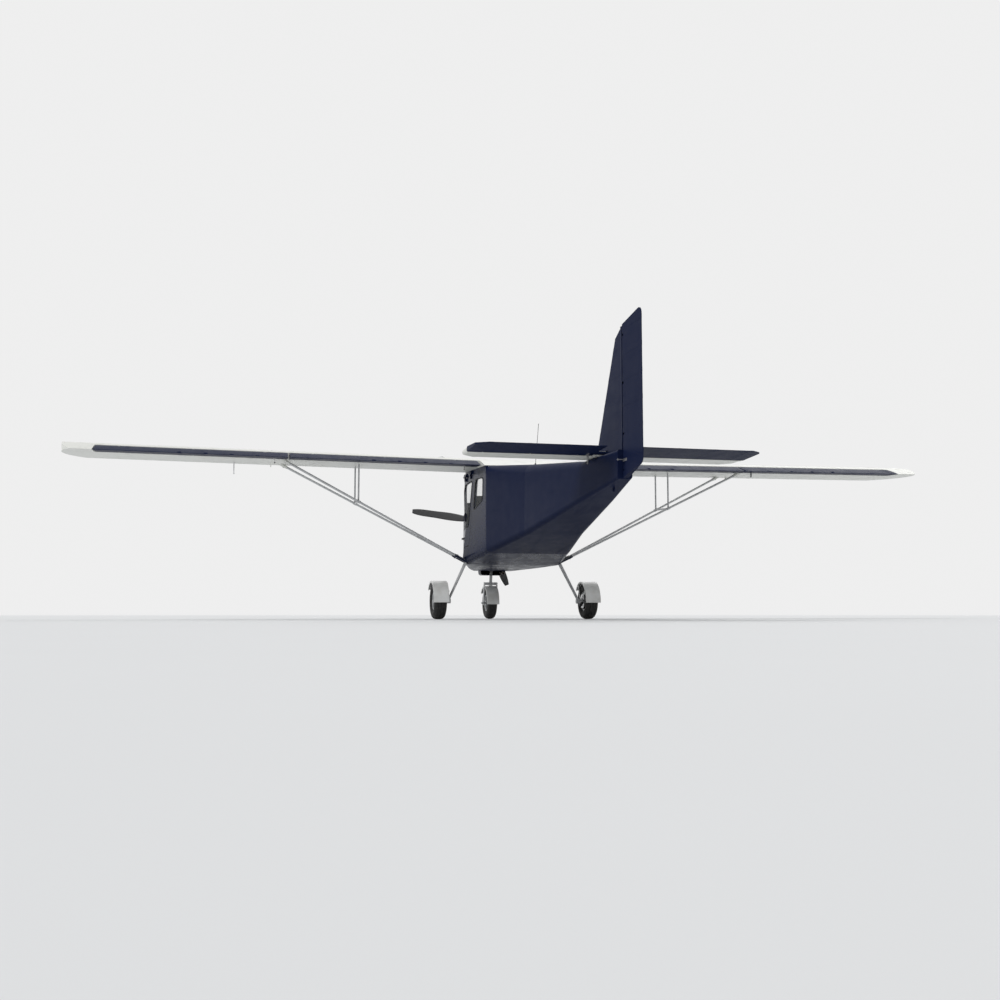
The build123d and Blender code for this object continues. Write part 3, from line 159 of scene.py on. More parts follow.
class Field:
    """An output socket that takes part in arithmetic, one Math node for each operator."""

    def __init__(self, network, socket):
        self.network = network
        self.socket = socket

    def __add__(self, other):
        return self.network.maths("ADD", self, other)

    def __sub__(self, other):
        return self.network.maths("SUBTRACT", self, other)

    def __rsub__(self, other):
        return self.network.maths("SUBTRACT", other, self)

    def __mul__(self, other):
        return self.network.maths("MULTIPLY", self, other)

    def __gt__(self, other):
        return self.network.maths("GREATER_THAN", self, other)

    __radd__ = __add__
    __rmul__ = __mul__


class Network:
    """Nodes of a material or of the world, with their output node."""

    def __init__(self, tree, output_kind):
        self.nodes, self.links = tree.nodes, tree.links
        self.nodes.clear()
        self.output = self.nodes.new(output_kind)

    def connect(self, socket, value):
        """Link a field to a socket, or set the socket's own value."""
        if isinstance(value, Field):
            self.links.new(value.socket, socket)
        elif socket.type == "RGBA" and len(value) == 3:
            socket.default_value = (*value, 1)
        else:
            socket.default_value = value

    def node(self, kind, settings=None, sockets=None, output=0):
        """Any node: settings first, then its sockets' values or links."""
        made = self.nodes.new(kind)
        for name, value in (settings or {}).items():
            setattr(made, name, value)
        for name, value in (sockets or {}).items():
            self.connect(made.inputs[name], value)
        return Field(self, made.outputs[output])

    def maths(self, operation, *values):
        return self.node("ShaderNodeMath", {"operation": operation}, dict(enumerate(values)))

    def show(self, shader):
        """Link a shader to the output node."""
        self.connect(self.output.inputs[0], shader)


SOCKETS = {"specular_ior_level": "Specular IOR Level"}


class Finish(Network):
    """A material with one Principled shader and the nodes that feed it."""

    def __init__(self, name, **shader_values):
        self.material = bpy.data.materials.new(name)
        self.material.use_nodes = True
        super().__init__(self.material.node_tree, "ShaderNodeOutputMaterial")
        self.shader = self.nodes.new("ShaderNodeBsdfPrincipled")
        self.lit = Field(self, self.shader.outputs[0])
        self.show(self.lit)
        self.feed(**shader_values)

    def feed(self, **values):
        """Feed the shader's sockets, named in small letters with underscores."""
        for name, value in values.items():
            socket = SOCKETS.get(name, name.replace("_", " ").title())
            self.connect(self.shader.inputs[socket], value)
        return self.material

    def place(self, stretch=(1, 1, 1)):
        """Object coordinates, in metres, stretched along the axes."""
        here = self.node("ShaderNodeTexCoord", output="Object")
        return self.node("ShaderNodeMapping", sockets={"Vector": here, "Scale": stretch})

    def parts(self, vector):
        """The three numbers of a vector."""
        made = self.nodes.new("ShaderNodeSeparateXYZ")
        self.connect(made.inputs[0], vector)
        return [Field(self, socket) for socket in made.outputs]

    def noise(self, scale, detail=3, stretch=(1, 1, 1), roughness=0.5):
        """Soft noise between 0 and 1."""
        sockets = {
            "Vector": self.place(stretch), "Scale": scale, "Detail": detail, "Roughness": roughness
        }
        return self.node("ShaderNodeTexNoise", sockets=sockets)

    def band(self, direction, scale):
        """Even waves along one axis."""
        settings = {"wave_type": "BANDS", "bands_direction": direction, "wave_profile": "SIN"}
        return self.node(
            "ShaderNodeTexWave", settings, {"Vector": self.place(), "Scale": scale, "Distortion": 0}
        )

    def span(self, value, low, high):
        """0 below low and 1 above high, smooth between."""
        settings = {"interpolation_type": "SMOOTHSTEP"}
        return self.node(
            "ShaderNodeMapRange", settings, {"Value": value, "From Min": low, "From Max": high}
        )

    def mix(self, factor, first, second):
        """Colour between two colours."""
        settings = {"data_type": "RGBA"}
        return self.node("ShaderNodeMix", settings, {0: factor, 6: first, 7: second}, output=2)

    def relief(self, height, distance, strength=1.0):
        """Normal from a height field, in metres."""
        return self.node(
            "ShaderNodeBump", sockets={"Height": height, "Distance": distance, "Strength": strength}
        )

    def facing_in(self):
        """1 on faces that look towards the aircraft's middle plane, as a lining does."""
        _, across, _ = self.parts(self.node("ShaderNodeTexCoord", output="Object"))
        _, turn, _ = self.parts(self.node("ShaderNodeTexCoord", output="Normal"))
        return self.maths("SIGN", across) * turn * -1 > 0.25


def shade(colour, amount):
    """A colour made darker or lighter."""
    return tuple(min(1, channel * amount) for channel in colour)


def blend_colour(first, second, share):
    """A colour part of the way from one to another."""
    return tuple(a + (b - a) * share for a, b in zip(first, second))


DUST = (0.32, 0.29, 0.24)
SOOT = (0.02, 0.018, 0.016)


def low_dust(finish, foot, top):
    """Dust that thins out from one height to another, broken up by noise."""
    _, _, height = finish.parts(finish.place())
    return (1 - finish.span(height, foot, top)) * finish.span(finish.noise(7, 5), 0.35, 0.75)


def skin_finish(name, colour, dust_top, dirt, gloss):
    """Painted cloth: fine weave, soft waves, and streaks along the airflow."""
    finish = Finish(name, specular_ior_level=gloss, coat_roughness=0.12)
    weave = finish.band("X", 150) * (finish.band("Y", 150) + finish.band("Z", 150))
    waves = finish.noise(3.2, 1)
    tone = finish.mix(finish.noise(1.7, 4), shade(colour, 0.94), shade(colour, 1.03))
    streaks = finish.span(finish.noise(3, 4, stretch=(0.25, 4, 4)), 0.52, 0.8)
    tone = finish.mix(streaks * dirt * 0.5, tone, blend_colour(colour, DUST, 0.5))
    tone = finish.mix(low_dust(finish, 0.5, dust_top) * dirt, tone, DUST)
    return finish.feed(
        base_color=tone,
        roughness=0.32 + finish.noise(9, 4) * 0.14 + streaks * 0.1,
        coat_weight=gloss * 0.4,
        normal=finish.relief(waves * 0.985 + weave * 0.015, 0.006, 0.5),
    )


def white_cover():
    return skin_finish("white painted cloth", covering().white, 1.2, 0.3, 0.3)


def navy_cover():
    return skin_finish("navy painted cloth", covering().navy, 1.25, 0.03, 0.02)


# Finish and slot of each colour of covering
COVERS = {"white": (white_cover, "white_fabric"), "navy": (navy_cover, "navy_fabric")}


def gloss_panel(name, colour, dust_top, dirt, gloss, lined):
    """Gloss moulding: faint ripple, dust low down, stone chips, and a lining inside."""
    finish = Finish(name, specular_ior_level=gloss, coat_roughness=0.05)
    dust = low_dust(finish, 0.3, dust_top)
    chips = finish.span(finish.noise(160, 2), 0.735, 0.75) * (1 - dust)
    tone = finish.mix(finish.noise(2.1, 3), shade(colour, 0.92), shade(colour, 1.05))
    tone = finish.mix(dust * dirt, tone, DUST)
    tone = finish.mix(chips * dirt, tone, blend_colour(colour, DUST, 0.6))
    rough = 0.2 + finish.noise(12, 4) * 0.12 + dust * 0.25
    coat = gloss * (1 - dust)
    ripple = finish.noise(35, 2)
    if lined:
        inside = finish.facing_in()
        grain = finish.noise(700, 2)
        lining = cabin().lining
        trim = finish.mix(finish.noise(14, 5), shade(lining, 0.8), shade(lining, 1.1))
        tone = finish.mix(inside, tone, trim)
        rough = rough + inside * 0.5
        coat = coat * (1 - inside)
        ripple = ripple + (grain - ripple) * inside
    return finish.feed(
        base_color=tone,
        roughness=rough,
        coat_weight=coat,
        normal=finish.relief(ripple, 0.0006, 0.35),
    )


def navy_panel():
    return gloss_panel("navy gloss moulding", covering().navy, 1.0, 0.03, 0.05, True)


def white_panel():
    return gloss_panel("white gloss moulding", (0.72, 0.73, 0.72), 0.3, 0.35, 0.4, False)


def metal_finish(name, colour, roughness, metallic, stretch=(1, 1, 1), grime=0.3):
    """Metal or painted metal: fine scratches, and grime in soft patches."""
    finish = Finish(name, metallic=metallic)
    scratches = finish.noise(60, 5, stretch=stretch, roughness=0.7)
    patches = finish.span(finish.noise(11, 5), 0.5, 0.8) * grime
    tone = finish.mix(scratches, shade(colour, 0.85), shade(colour, 1.1))
    return finish.feed(
        base_color=finish.mix(patches, tone, blend_colour(SOOT, DUST, 0.25)),
        roughness=roughness + scratches * 0.12 + patches * 0.3,
        normal=finish.relief(scratches, 0.0003, 0.4),
    )


# Columns: name, colour, roughness, metallic
strut_paint = partial(metal_finish, "light grey strut paint", (0.55, 0.56, 0.57), 0.28, 0.1, grime=0.25)
gear_paint = partial(
    metal_finish, "light grey gear paint", (0.5, 0.51, 0.52), 0.3, 0.0, stretch=(2, 1, 1), grime=0.45
)
cast_alloy = partial(metal_finish, "cast alloy", (0.52, 0.53, 0.54), 0.32, 0.9, grime=0.5)
dark_casting = partial(metal_finish, "dark casting", (0.12, 0.12, 0.125), 0.42, 0.7, grime=0.6)
bright_steel = partial(
    metal_finish, "bright steel", (0.6, 0.6, 0.61), 0.24, 1.0, stretch=(4, 1, 1), grime=0.15
)
dull_steel = partial(metal_finish, "dull steel", (0.3, 0.3, 0.31), 0.4, 0.9, grime=0.5)


def burnt_steel():
    """Exhaust steel, tinted by heat in patches from bronze to grey."""
    finish = Finish("heat-tinted steel", metallic=1.0)
    heat = finish.span(finish.noise(9, 4, stretch=(2, 1, 1)), 0.3, 0.7)
    tone = finish.mix(heat, (0.30, 0.2, 0.13), (0.33, 0.33, 0.36))
    return finish.feed(
        base_color=tone,
        roughness=0.35 + finish.noise(80, 4) * 0.25,
        normal=finish.relief(finish.noise(200, 3), 0.0003, 0.4),
    )


def tyre_rubber():
    """Black rubber, scuffed all round and dusty near the floor."""
    colour = gear().rubber
    finish = Finish("tyre rubber", specular_ior_level=0.35)
    _, _, height = finish.parts(finish.place())
    scuffs = finish.span(finish.noise(38, 6, roughness=0.7), 0.42, 0.72)
    near_floor = 1 - finish.span(height, 0.0, 0.05)
    tone = finish.mix(scuffs * 0.35, colour, blend_colour(colour, DUST, 0.3))
    return finish.feed(
        base_color=finish.mix(near_floor * scuffs * 0.5, tone, shade(DUST, 0.6)),
        roughness=0.62 + scuffs * 0.25,
        normal=finish.relief(finish.noise(420, 3) + scuffs * 0.5, 0.0005, 0.5),
    )


def plain_rubber():
    """Rubber of seals, lips and boots."""
    finish = Finish("seal rubber", specular_ior_level=0.4)
    wear = finish.noise(55, 5)
    return finish.feed(
        base_color=finish.mix(wear, shade(gear().rubber, 0.7), shade(gear().rubber, 1.6)),
        roughness=0.5 + wear * 0.25,
        normal=finish.relief(finish.noise(600, 2), 0.0002, 0.4),
    )


def blade_finish():
    """Dark composite blades with a faint cross weave and rubbed patches."""
    finish = Finish("dark composite", coat_roughness=0.15)
    twill = finish.band("Y", 75) * finish.band("Z", 75)
    rub = finish.span(finish.noise(30, 5), 0.6, 0.8)
    tone = finish.mix(twill, (0.018, 0.018, 0.02), (0.04, 0.041, 0.044))
    return finish.feed(
        base_color=finish.mix(rub * 0.35, tone, (0.16, 0.155, 0.15)),
        roughness=0.3 + rub * 0.3,
        coat_weight=0.4,
        normal=finish.relief(twill, 0.0003, 0.3),
    )


def dark_moulding():
    """Matt black moulding with a pebbled grain."""
    finish = Finish("black grained moulding", specular_ior_level=0.4)
    grain = finish.node(
        "ShaderNodeTexVoronoi", sockets={"Vector": finish.place(), "Scale": 420}
    )
    tone = finish.mix(finish.noise(9, 4), (0.022, 0.022, 0.024), (0.038, 0.038, 0.04))
    return finish.feed(
        base_color=tone,
        roughness=0.55 + finish.noise(20, 4) * 0.2,
        normal=finish.relief(grain, 0.0005, 0.5),
    )


def seat_cloth():
    """Woven seat cloth: cross threads, a soft sheen and an uneven tone."""
    colour = cabin().cloth
    finish = Finish(
        "woven seat cloth", sheen_weight=0.35, sheen_roughness=0.4, specular_ior_level=0.25
    )
    threads = finish.band("X", 130) * finish.band("Y", 130) + finish.band("Z", 130) * 0.5
    tone = finish.mix(finish.noise(16, 5), shade(colour, 0.8), shade(colour, 1.35))
    return finish.feed(
        base_color=finish.mix(threads * 0.35, tone, shade(colour, 1.9)),
        roughness=0.86 + finish.noise(30, 3) * 0.1,
        normal=finish.relief(threads, 0.0007, 0.55),
    )


def clear_glass():
    """Thin clear sheet with a slight tint and a film of dust."""
    finish = Finish("clear sheet", specular_ior_level=0.6, coat_weight=0.6, coat_roughness=0.02)
    film = finish.span(finish.noise(6, 5), 0.5, 0.85)
    return finish.feed(
        base_color=(0.22, 0.26, 0.28),
        roughness=0.04 + film * 0.08,
        alpha=0.07 + film * 0.03,
    )


def dial_glass():
    """Face of an instrument behind its glass."""
    finish = Finish("dial face", coat_weight=0.9, coat_roughness=0.03)
    tone = finish.mix(finish.noise(90, 3), (0.01, 0.01, 0.011), (0.016, 0.016, 0.018))
    return finish.feed(base_color=tone, roughness=0.35 + finish.noise(60, 3) * 0.1)


def dial_paint():
    """Warm white paint of marks and needles."""
    finish = Finish("mark paint")
    tone = finish.mix(finish.noise(150, 3), (0.7, 0.69, 0.62), (0.8, 0.79, 0.74))
    return finish.feed(base_color=tone, roughness=0.5 + finish.noise(90, 2) * 0.1)


@cache
def finish_of(make):
    """The one material that a maker makes, made once."""
    return make()


# Modelling


def select_only(*pieces):
    bpy.ops.object.select_all(action="DESELECT")
    for piece in pieces:
        piece.select_set(True)
    bpy.context.view_layer.objects.active = pieces[-1]


@contextmanager
def editing(piece):
    """Edit mode on one piece, with all of it selected."""
    select_only(piece)
    bpy.ops.object.mode_set(mode="EDIT")
    bpy.ops.mesh.select_all(action="SELECT")
    yield
    bpy.ops.object.mode_set(mode="OBJECT")


def pick_faces(piece, test):
    """Select the faces, in edit mode, whose middle and normal pass a test."""
    bpy.ops.mesh.select_mode(type="FACE")
    bpy.ops.mesh.select_all(action="DESELECT")
    mesh = bmesh.from_edit_mesh(piece.data)
    for face in mesh.faces:
        face.select_set(bool(test(face.calc_center_median(), face.normal)))
    bmesh.update_edit_mesh(piece.data)


def settle(piece):
    """Apply a piece's place, turn and scale to its mesh."""
    select_only(piece)
    bpy.ops.object.transform_apply(location=True, rotation=True, scale=True)
    return piece


def modify(piece, kind, **settings):
    """Add a modifier and apply it."""
    select_only(piece)
    modifier = piece.modifiers.new(kind.title(), kind)
    for name, value in settings.items():
        setattr(modifier, name, value)
    bpy.ops.object.modifier_apply(modifier=modifier.name)
    return piece


def smooth(piece, angle=35):
    select_only(piece)
    bpy.ops.object.shade_smooth_by_angle(angle=radians(angle))
    return piece


def joined(pieces):
    """Several pieces made into one object."""
    select_only(*pieces)
    if len(pieces) > 1:
        bpy.ops.object.join()
    return bpy.context.object


def complete(piece, name, make_finish, slot, body="airframe"):
    """Name a finished piece and give it its material, slot and body."""
    settle(piece)
    piece.name = name
    piece.data.name = name
    piece.data.materials.clear()
    piece.data.materials.append(finish_of(make_finish))
    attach(piece, body)
    return piece


def block(size, centre, turn=(0, 0, 0), edge=0.002):
    """Box with rounded edges."""
    bpy.ops.mesh.primitive_cube_add(size=1, location=centre, rotation=turn)
    piece = bpy.context.object
    piece.scale = size
    settle(piece)
    modify(piece, "BEVEL", width=edge, segments=2, limit_method="ANGLE")
    return smooth(piece)


def rod(start, end, radius, sides=20, edge=0.0008):
    """Round bar with broken edges."""
    start = Vector(start)
    axis = Vector(end) - start
    bpy.ops.mesh.primitive_cylinder_add(
        vertices=sides,
        radius=radius,
        depth=axis.length,
        location=start + axis / 2,
        rotation=axis.to_track_quat("Z", "Y").to_euler(),
    )
    piece = settle(bpy.context.object)
    modify(piece, "BEVEL", width=edge, segments=2, limit_method="ANGLE", angle_limit=radians(50))
    return smooth(piece)


def spun(outline, centre, axis, steps=48):
    """Closed outline turned about an axis. Columns: along the axis, out from it."""
    bpy.ops.mesh.primitive_circle_add(vertices=len(outline), radius=1)
    piece = bpy.context.object
    across = axis.orthogonal().normalized()
    for vertex, (along, out) in zip(piece.data.vertices, outline):
        vertex.co = Vector(centre) + axis * along + across * out
    with editing(piece):
        bpy.ops.mesh.spin(steps=steps, angle=2 * pi, center=centre, axis=axis)
        bpy.ops.mesh.select_all(action="SELECT")
        bpy.ops.mesh.remove_doubles(threshold=MERGE_DISTANCE)
        bpy.ops.mesh.normals_make_consistent(inside=False)
    return smooth(piece)


def pipe(points, radius, closed=False, smooth_path=True):
    """Round pipe along points."""
    curve = bpy.data.curves.new("pipe", "CURVE")
    curve.dimensions = "3D"
    spline = curve.splines.new("NURBS" if smooth_path else "POLY")
    spline.points.add(len(points) - 1)
    for point, place in zip(spline.points, points):
        point.co = (*place, 1)
    if smooth_path:
        spline.order_u = 3
        spline.use_endpoint_u = not closed
    spline.use_cyclic_u = closed
    curve.bevel_depth = radius
    curve.bevel_resolution = 3
    curve.use_fill_caps = not closed
    piece = bpy.data.objects.new("pipe", curve)
    bpy.context.scene.collection.objects.link(piece)
    select_only(piece)
    bpy.ops.object.convert(target="MESH")
    return smooth(bpy.context.object, 50)


def copied(source, place=Matrix()):
    """Copy of an object with its own mesh, at a place and turn."""
    piece = bpy.data.objects.new("copy", source.data.copy())
    bpy.context.scene.collection.objects.link(piece)
    piece.matrix_world = place
    return settle(piece)


def copy_of_node(node):
    """Loose copy of a node's mesh with its triangles merged."""
    piece = copied(frame["nodes"][node])
    with editing(piece):
        bpy.ops.mesh.remove_doubles(threshold=MERGE_DISTANCE)
    return piece


@cache
def skin_of(node):
    """Search tree of a node's faces."""
    mesh = frame["nodes"][node].data
    return BVHTree.FromPolygons(
        [vertex.co for vertex in mesh.vertices], [face.vertices for face in mesh.polygons]
    )


def on_skin(start, direction, *nodes):
    """Place and normal where a ray first meets one of some nodes."""
    hits = [skin_of(node).ray_cast(Vector(start), Vector(direction)) for node in nodes]
    hits = [hit for hit in hits if hit[0] is not None]
    if not hits:
        raise RuntimeError(f"no skin of {nodes} lies on the ray from {tuple(start)}")
    place, normal, _, _ = min(hits, key=lambda hit: hit[3])
    return place, normal


def dome(radius, height):
    """Low domed head of a rivet or screw."""
    bpy.ops.mesh.primitive_uv_sphere_add(segments=12, ring_count=8, radius=radius)
    piece = bpy.context.object
    piece.scale = (1, 1, height / radius)
    settle(piece)
    with editing(piece):
        bpy.ops.mesh.bisect(
            plane_co=(0, 0, 0), plane_no=(0, 0, 1), use_fill=True, clear_inner=True
        )
    return smooth(piece)


def scattered(master, spots):
    """Copies of a master at places with normals, made one object."""
    copies = []
    for place, normal in spots:
        turn = normal.to_track_quat("Z", "Y").to_matrix().to_4x4()
        copies.append(copied(master, Matrix.Translation(place) @ turn))
    bpy.data.objects.remove(master)
    return joined(copies)


def between(start, end, count):
    """Evenly spaced points from start to end."""
    start, end = Vector(start), Vector(end)
    return [start.lerp(end, step / (count - 1)) for step in range(count)]


# Heads of screws and rivets. Columns: radius, height
SCREW_HEAD = (0.0055, 0.002)
RIVET_HEAD = (0.004, 0.0014)
SPINNER_SCREW_HEAD = (0.005, 0.0018)
COVER_SCREW_HEAD = (0.0045, 0.0018)
# Heads of bolts and nuts. Columns: height, radius
WHEEL_BOLT = (0.0045, 0.0065)
CALIPER_BOLT = (0.005, 0.006)
STRUT_BOLT = (0.006, 0.0085)
HORN_PIN = (0.004, 0.0055)
HORN_BOLT = (0.005, 0.0048)
CLAMP_BOLT = (0.004, 0.004)
SWITCH_NUT = (0.004, 0.0065)


def hexagon(foot, out, height, radius):
    """Bolt head or nut that stands on a face."""
    return rod(foot, foot + out * height, radius, sides=6, edge=0.0006)


SIDES = (("left", 1), ("right", -1))


def mirrored(point):
    """The same point or direction on the other side of the aircraft."""
    return Vector((point[0], -point[1], point[2]))


def both_sides(*vectors):
    """Points or directions, and the same ones on the other side."""
    return [vectors, tuple(mirrored(vector) for vector in vectors)]


def bend(x, y, z, radius, start, end, steps):
    """Points of an arc across the aircraft, between two angles in degrees."""
    turns = [radians(start + (end - start) * step / steps) for step in range(steps + 1)]
    return [(x, y + radius * cos(turn), z + radius * sin(turn)) for turn in turns]


def box_size(*spans):
    """Size of a box from its lengths along axes, whichever way they point."""
    size = Vector()
    for axis, length in spans:
        size += Vector([abs(part) for part in axis]) * length
    return size


# Tapes over the ribs

# Surfaces on both sides. Columns: surface, colour, first rib, last rib, number of ribs
TAPED_PAIRS = (
    ("wing", "white", 0.56, 4.36, 15),
    ("flap", "navy", 0.56, 2.45, 8),
    ("aileron", "navy", 2.56, 4.34, 8),
)
# Columns: node, colour, first rib, last rib, number of ribs, axis across the ribs
TAPED = (
    ("stabiliser", "white", -1.09, 1.09, 8, Y_AXIS),
    ("elevator", "navy", -1.09, 1.09, 8, Y_AXIS),
    ("fin", "navy", 1.56, 2.2, 4, Z_AXIS),
    ("rudder", "navy", 1.3, 2.34, 6, Z_AXIS),
)
# A face whose normal leans further along the ribs' axis is the surface's end
END_LEAN = 0.7


def rib_tapes(node, first, last, count, axis):
    """Thin tapes round a node's skin at its ribs."""
    piece = copy_of_node(node)
    half = covering().tape_width / 2
    stations = [first + (last - first) * step / (count - 1) for step in range(count)]
    with editing(piece):
        for station in stations:
            for edge in (station - half, station + half):
                bpy.ops.mesh.select_all(action="SELECT")
                bpy.ops.mesh.bisect(plane_co=axis * edge, plane_no=axis)
        pick_faces(
            piece,
            lambda middle, normal: abs(normal.dot(axis)) > END_LEAN
            or all(abs(middle.dot(axis) - station) > half for station in stations),
        )
        bpy.ops.mesh.delete(type="FACE")
    modify(piece, "SOLIDIFY", thickness=covering().tape_thickness, offset=1)
    return smooth(piece)


class MICROLIGHT_OT_rib_tapes(bpy.types.Operator):
    """Lay tapes over the ribs of every covered surface."""

    bl_idname = "microlight.rib_tapes"
    bl_label = "Rib Tapes"

    def execute(self, context):
        pairs = [
            (f"{surface}_{name}", colour, side * first, side * last, count, Y_AXIS)
            for surface, colour, first, last, count in TAPED_PAIRS
            for name, side in SIDES
        ]
        for node, colour, *layout in (*pairs, *TAPED):
            body = node if node in frame["bodies"] else "airframe"
            complete(rib_tapes(node, *layout), f"{node}_tapes", *COVERS[colour], body)
        return {"FINISHED"}


# Tyres and wheel fittings

# Columns: name, body, whether it has a brake, centre, radius, width, outward side
WHEELS = (
    ("left", "wheel_left", True, (1.04, 0.85, 0.2), 0.2, 0.14, 1),
    ("right", "wheel_right", True, (1.04, -0.85, 0.2), 0.2, 0.14, -1),
    ("nose", "nose_wheel", False, (2.29, 0, 0.19), 0.19, 0.12, 1),
)
RIM_SHARE = 0.5
BEAD_SHARE = 0.62

# Half of a tyre's outline. Columns: share of half the width, share of the height, groove floor
TYRE_HALF = (
    (0.62, 0.00, 0), (0.68, 0.03, 0), (0.80, 0.11, 0), (0.905, 0.24, 0), (0.945, 0.30, 0),
    (0.972, 0.315, 0), (0.985, 0.345, 0), (0.975, 0.375, 0), (0.999, 0.50, 0), (0.978, 0.63, 0),
    (0.925, 0.745, 0), (0.835, 0.84, 0), (0.72, 0.905, 0), (0.60, 0.942, 0), (0.48, 0.968, 0),
    (0.465, 0.968, 1), (0.405, 0.974, 1), (0.39, 0.978, 0), (0.20, 0.993, 0), (0.055, 0.999, 0),
    (0.04, 0.999, 1),
)
# Rolled edge of a rim. Columns: outwards from the bead, out from the bead's seat
LIP_OUTLINE = (
    (-0.002, -0.003), (0.003, -0.002), (0.006, 0.003), (0.005, 0.008), (0.002, 0.009),
    (0.001, 0.004), (-0.002, 0),
)


def tyre_outline(radius, width):
    """Closed outline of a grooved tyre on its rim's seat."""
    seat = radius * RIM_SHARE
    half = []
    for across, up, floor in TYRE_HALF:
        height = (up - floor * gear().groove_depth) * (radius - seat)
        half.append((across * width / 2, seat + height))
    return half + [(-along, out) for along, out in reversed(half)]


def rim_lip(centre, radius, width, side):
    """Rolled edge of a rim over the tyre's bead."""
    seat = radius * RIM_SHARE
    bead = BEAD_SHARE * width / 2
    outline = [(side * (bead + along), seat + out) for along, out in LIP_OUTLINE]
    return spun(outline, centre, Y_AXIS, 64)


BOLT_CIRCLE_SHARE = 0.26
WEB_FACE = 0.005
BOLT_COUNT = 5
# Valve of a rim: where it starts, its stem and its cap, outwards and up
VALVE_START = (0.02, -0.012)
VALVE_STEM = (0.028, -0.012)
VALVE_CAP = (0.008, -0.0035)


def wheel_bolts(centre, radius, side):
    """Bolts through a rim's web, between its holes, and the valve."""
    pieces = []
    middle = Vector(centre)
    for step in range(BOLT_COUNT):
        turn = 2 * pi * (step + 0.5) / BOLT_COUNT
        spoke = Vector((cos(turn), 0, sin(turn))) * radius * BOLT_CIRCLE_SHARE
        for out in (Y_AXIS, -Y_AXIS):
            foot = middle + spoke + out * WEB_FACE
            tip = foot + out * WHEEL_BOLT[0]
            pieces.append(hexagon(foot, out, *WHEEL_BOLT))
            pieces.append(rod(tip, tip + out * 0.004, 0.0035, sides=10))
    seat = middle + Z_AXIS * radius * RIM_SHARE
    valve, stem, cap = (
        Vector((0, side * outwards, up)) for outwards, up in (VALVE_START, VALVE_STEM, VALVE_CAP)
    )
    foot = seat + valve
    pieces.append(rod(foot, foot + stem, 0.003, sides=12))
    pieces.append(rod(foot + stem, foot + stem + cap, 0.0042, sides=12))
    return joined(pieces)


# Brake disc with its bell. Columns: outwards from the wheel's middle, radius
DISC_BELL = (
    (-0.059, 0.046), (-0.0502, 0.036), (-0.0502, 0.0268), (-0.0545, 0.0268), (-0.0545, 0.033),
    (-0.064, 0.044),
)
DISC_FACES = (-0.064, -0.059)
CALIPER_ANGLE = radians(-25)


def brake_disc(centre, side):
    """Disc and bell on the inner end of a main wheel's hub."""
    inner, outer = DISC_FACES
    rim = gear().disc_radius
    outline = [(inner, rim), (outer, rim), *DISC_BELL]
    return spun([(side * along, out) for along, out in outline], centre, Y_AXIS, 64)


def brake_caliper(centre, side):
    """Two halves with a bridge over the disc's edge, on a plate from the axle's boss."""
    middle = Vector(centre)
    out = Vector((cos(CALIPER_ANGLE), 0, sin(CALIPER_ANGLE)))
    turn = (0, -CALIPER_ANGLE, 0)
    rim = gear().disc_radius
    # Columns: out from the axle, outwards along it, size out, size along, size round
    parts = (
        (rim - 0.014, -0.0745, 0.034, 0.017, 0.052),
        (rim - 0.014, -0.0525, 0.034, 0.009, 0.052),
        (rim + 0.007, -0.0615, 0.008, 0.031, 0.046),
        (0.043, -0.0815, 0.058, 0.004, 0.03),
    )
    pieces = []
    for reach, along, deep, wide, tall in parts:
        place = middle + out * reach + Y_AXIS * side * along
        pieces.append(block((deep, wide, tall), place, turn, 0.0015))
    for sign in (1, -1):
        offset = Vector((-sin(CALIPER_ANGLE), 0, cos(CALIPER_ANGLE))) * 0.016 * sign
        foot = middle + out * (rim - 0.014) + offset + Y_AXIS * side * -0.083
        pieces.append(hexagon(foot, -Y_AXIS * side, *CALIPER_BOLT))
    return joined(pieces)


class MICROLIGHT_OT_tyres(bpy.types.Operator):
    """Model the grooved tyres."""

    bl_idname = "microlight.tyres"
    bl_label = "Tyres"

    def execute(self, context):
        for name, body, _, centre, radius, width, _ in WHEELS:
            tyre = spun(tyre_outline(radius, width), centre, Y_AXIS, 96)
            complete(tyre, f"grooved_tyre_{name}", tyre_rubber, "rubber", body)
            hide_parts(f"tyre_{name}")
        return {"FINISHED"}


class MICROLIGHT_OT_wheel_fittings(bpy.types.Operator):
    """Model rim lips, bolts, valves, brake discs and calipers."""

    bl_idname = "microlight.wheel_fittings"
    bl_label = "Wheel Fittings"

    def execute(self, context):
        for name, body, braked, centre, radius, width, side in WHEELS:
            lips = joined([rim_lip(centre, radius, width, face) for face in (1, -1)])
            complete(lips, f"rim_lips_{name}", cast_alloy, "sheet_metal", body)
            bolts = wheel_bolts(centre, radius, side)
            complete(bolts, f"rim_bolts_{name}", bright_steel, "sheet_metal", body)
            if braked:
                disc = brake_disc(centre, side)
                complete(disc, f"brake_disc_{name}", bright_steel, "sheet_metal", body)
                caliper = brake_caliper(centre, side)
                complete(caliper, f"brake_caliper_{name}", dark_casting, "engine_metal")
        return {"FINISHED"}


# Screws and rivets

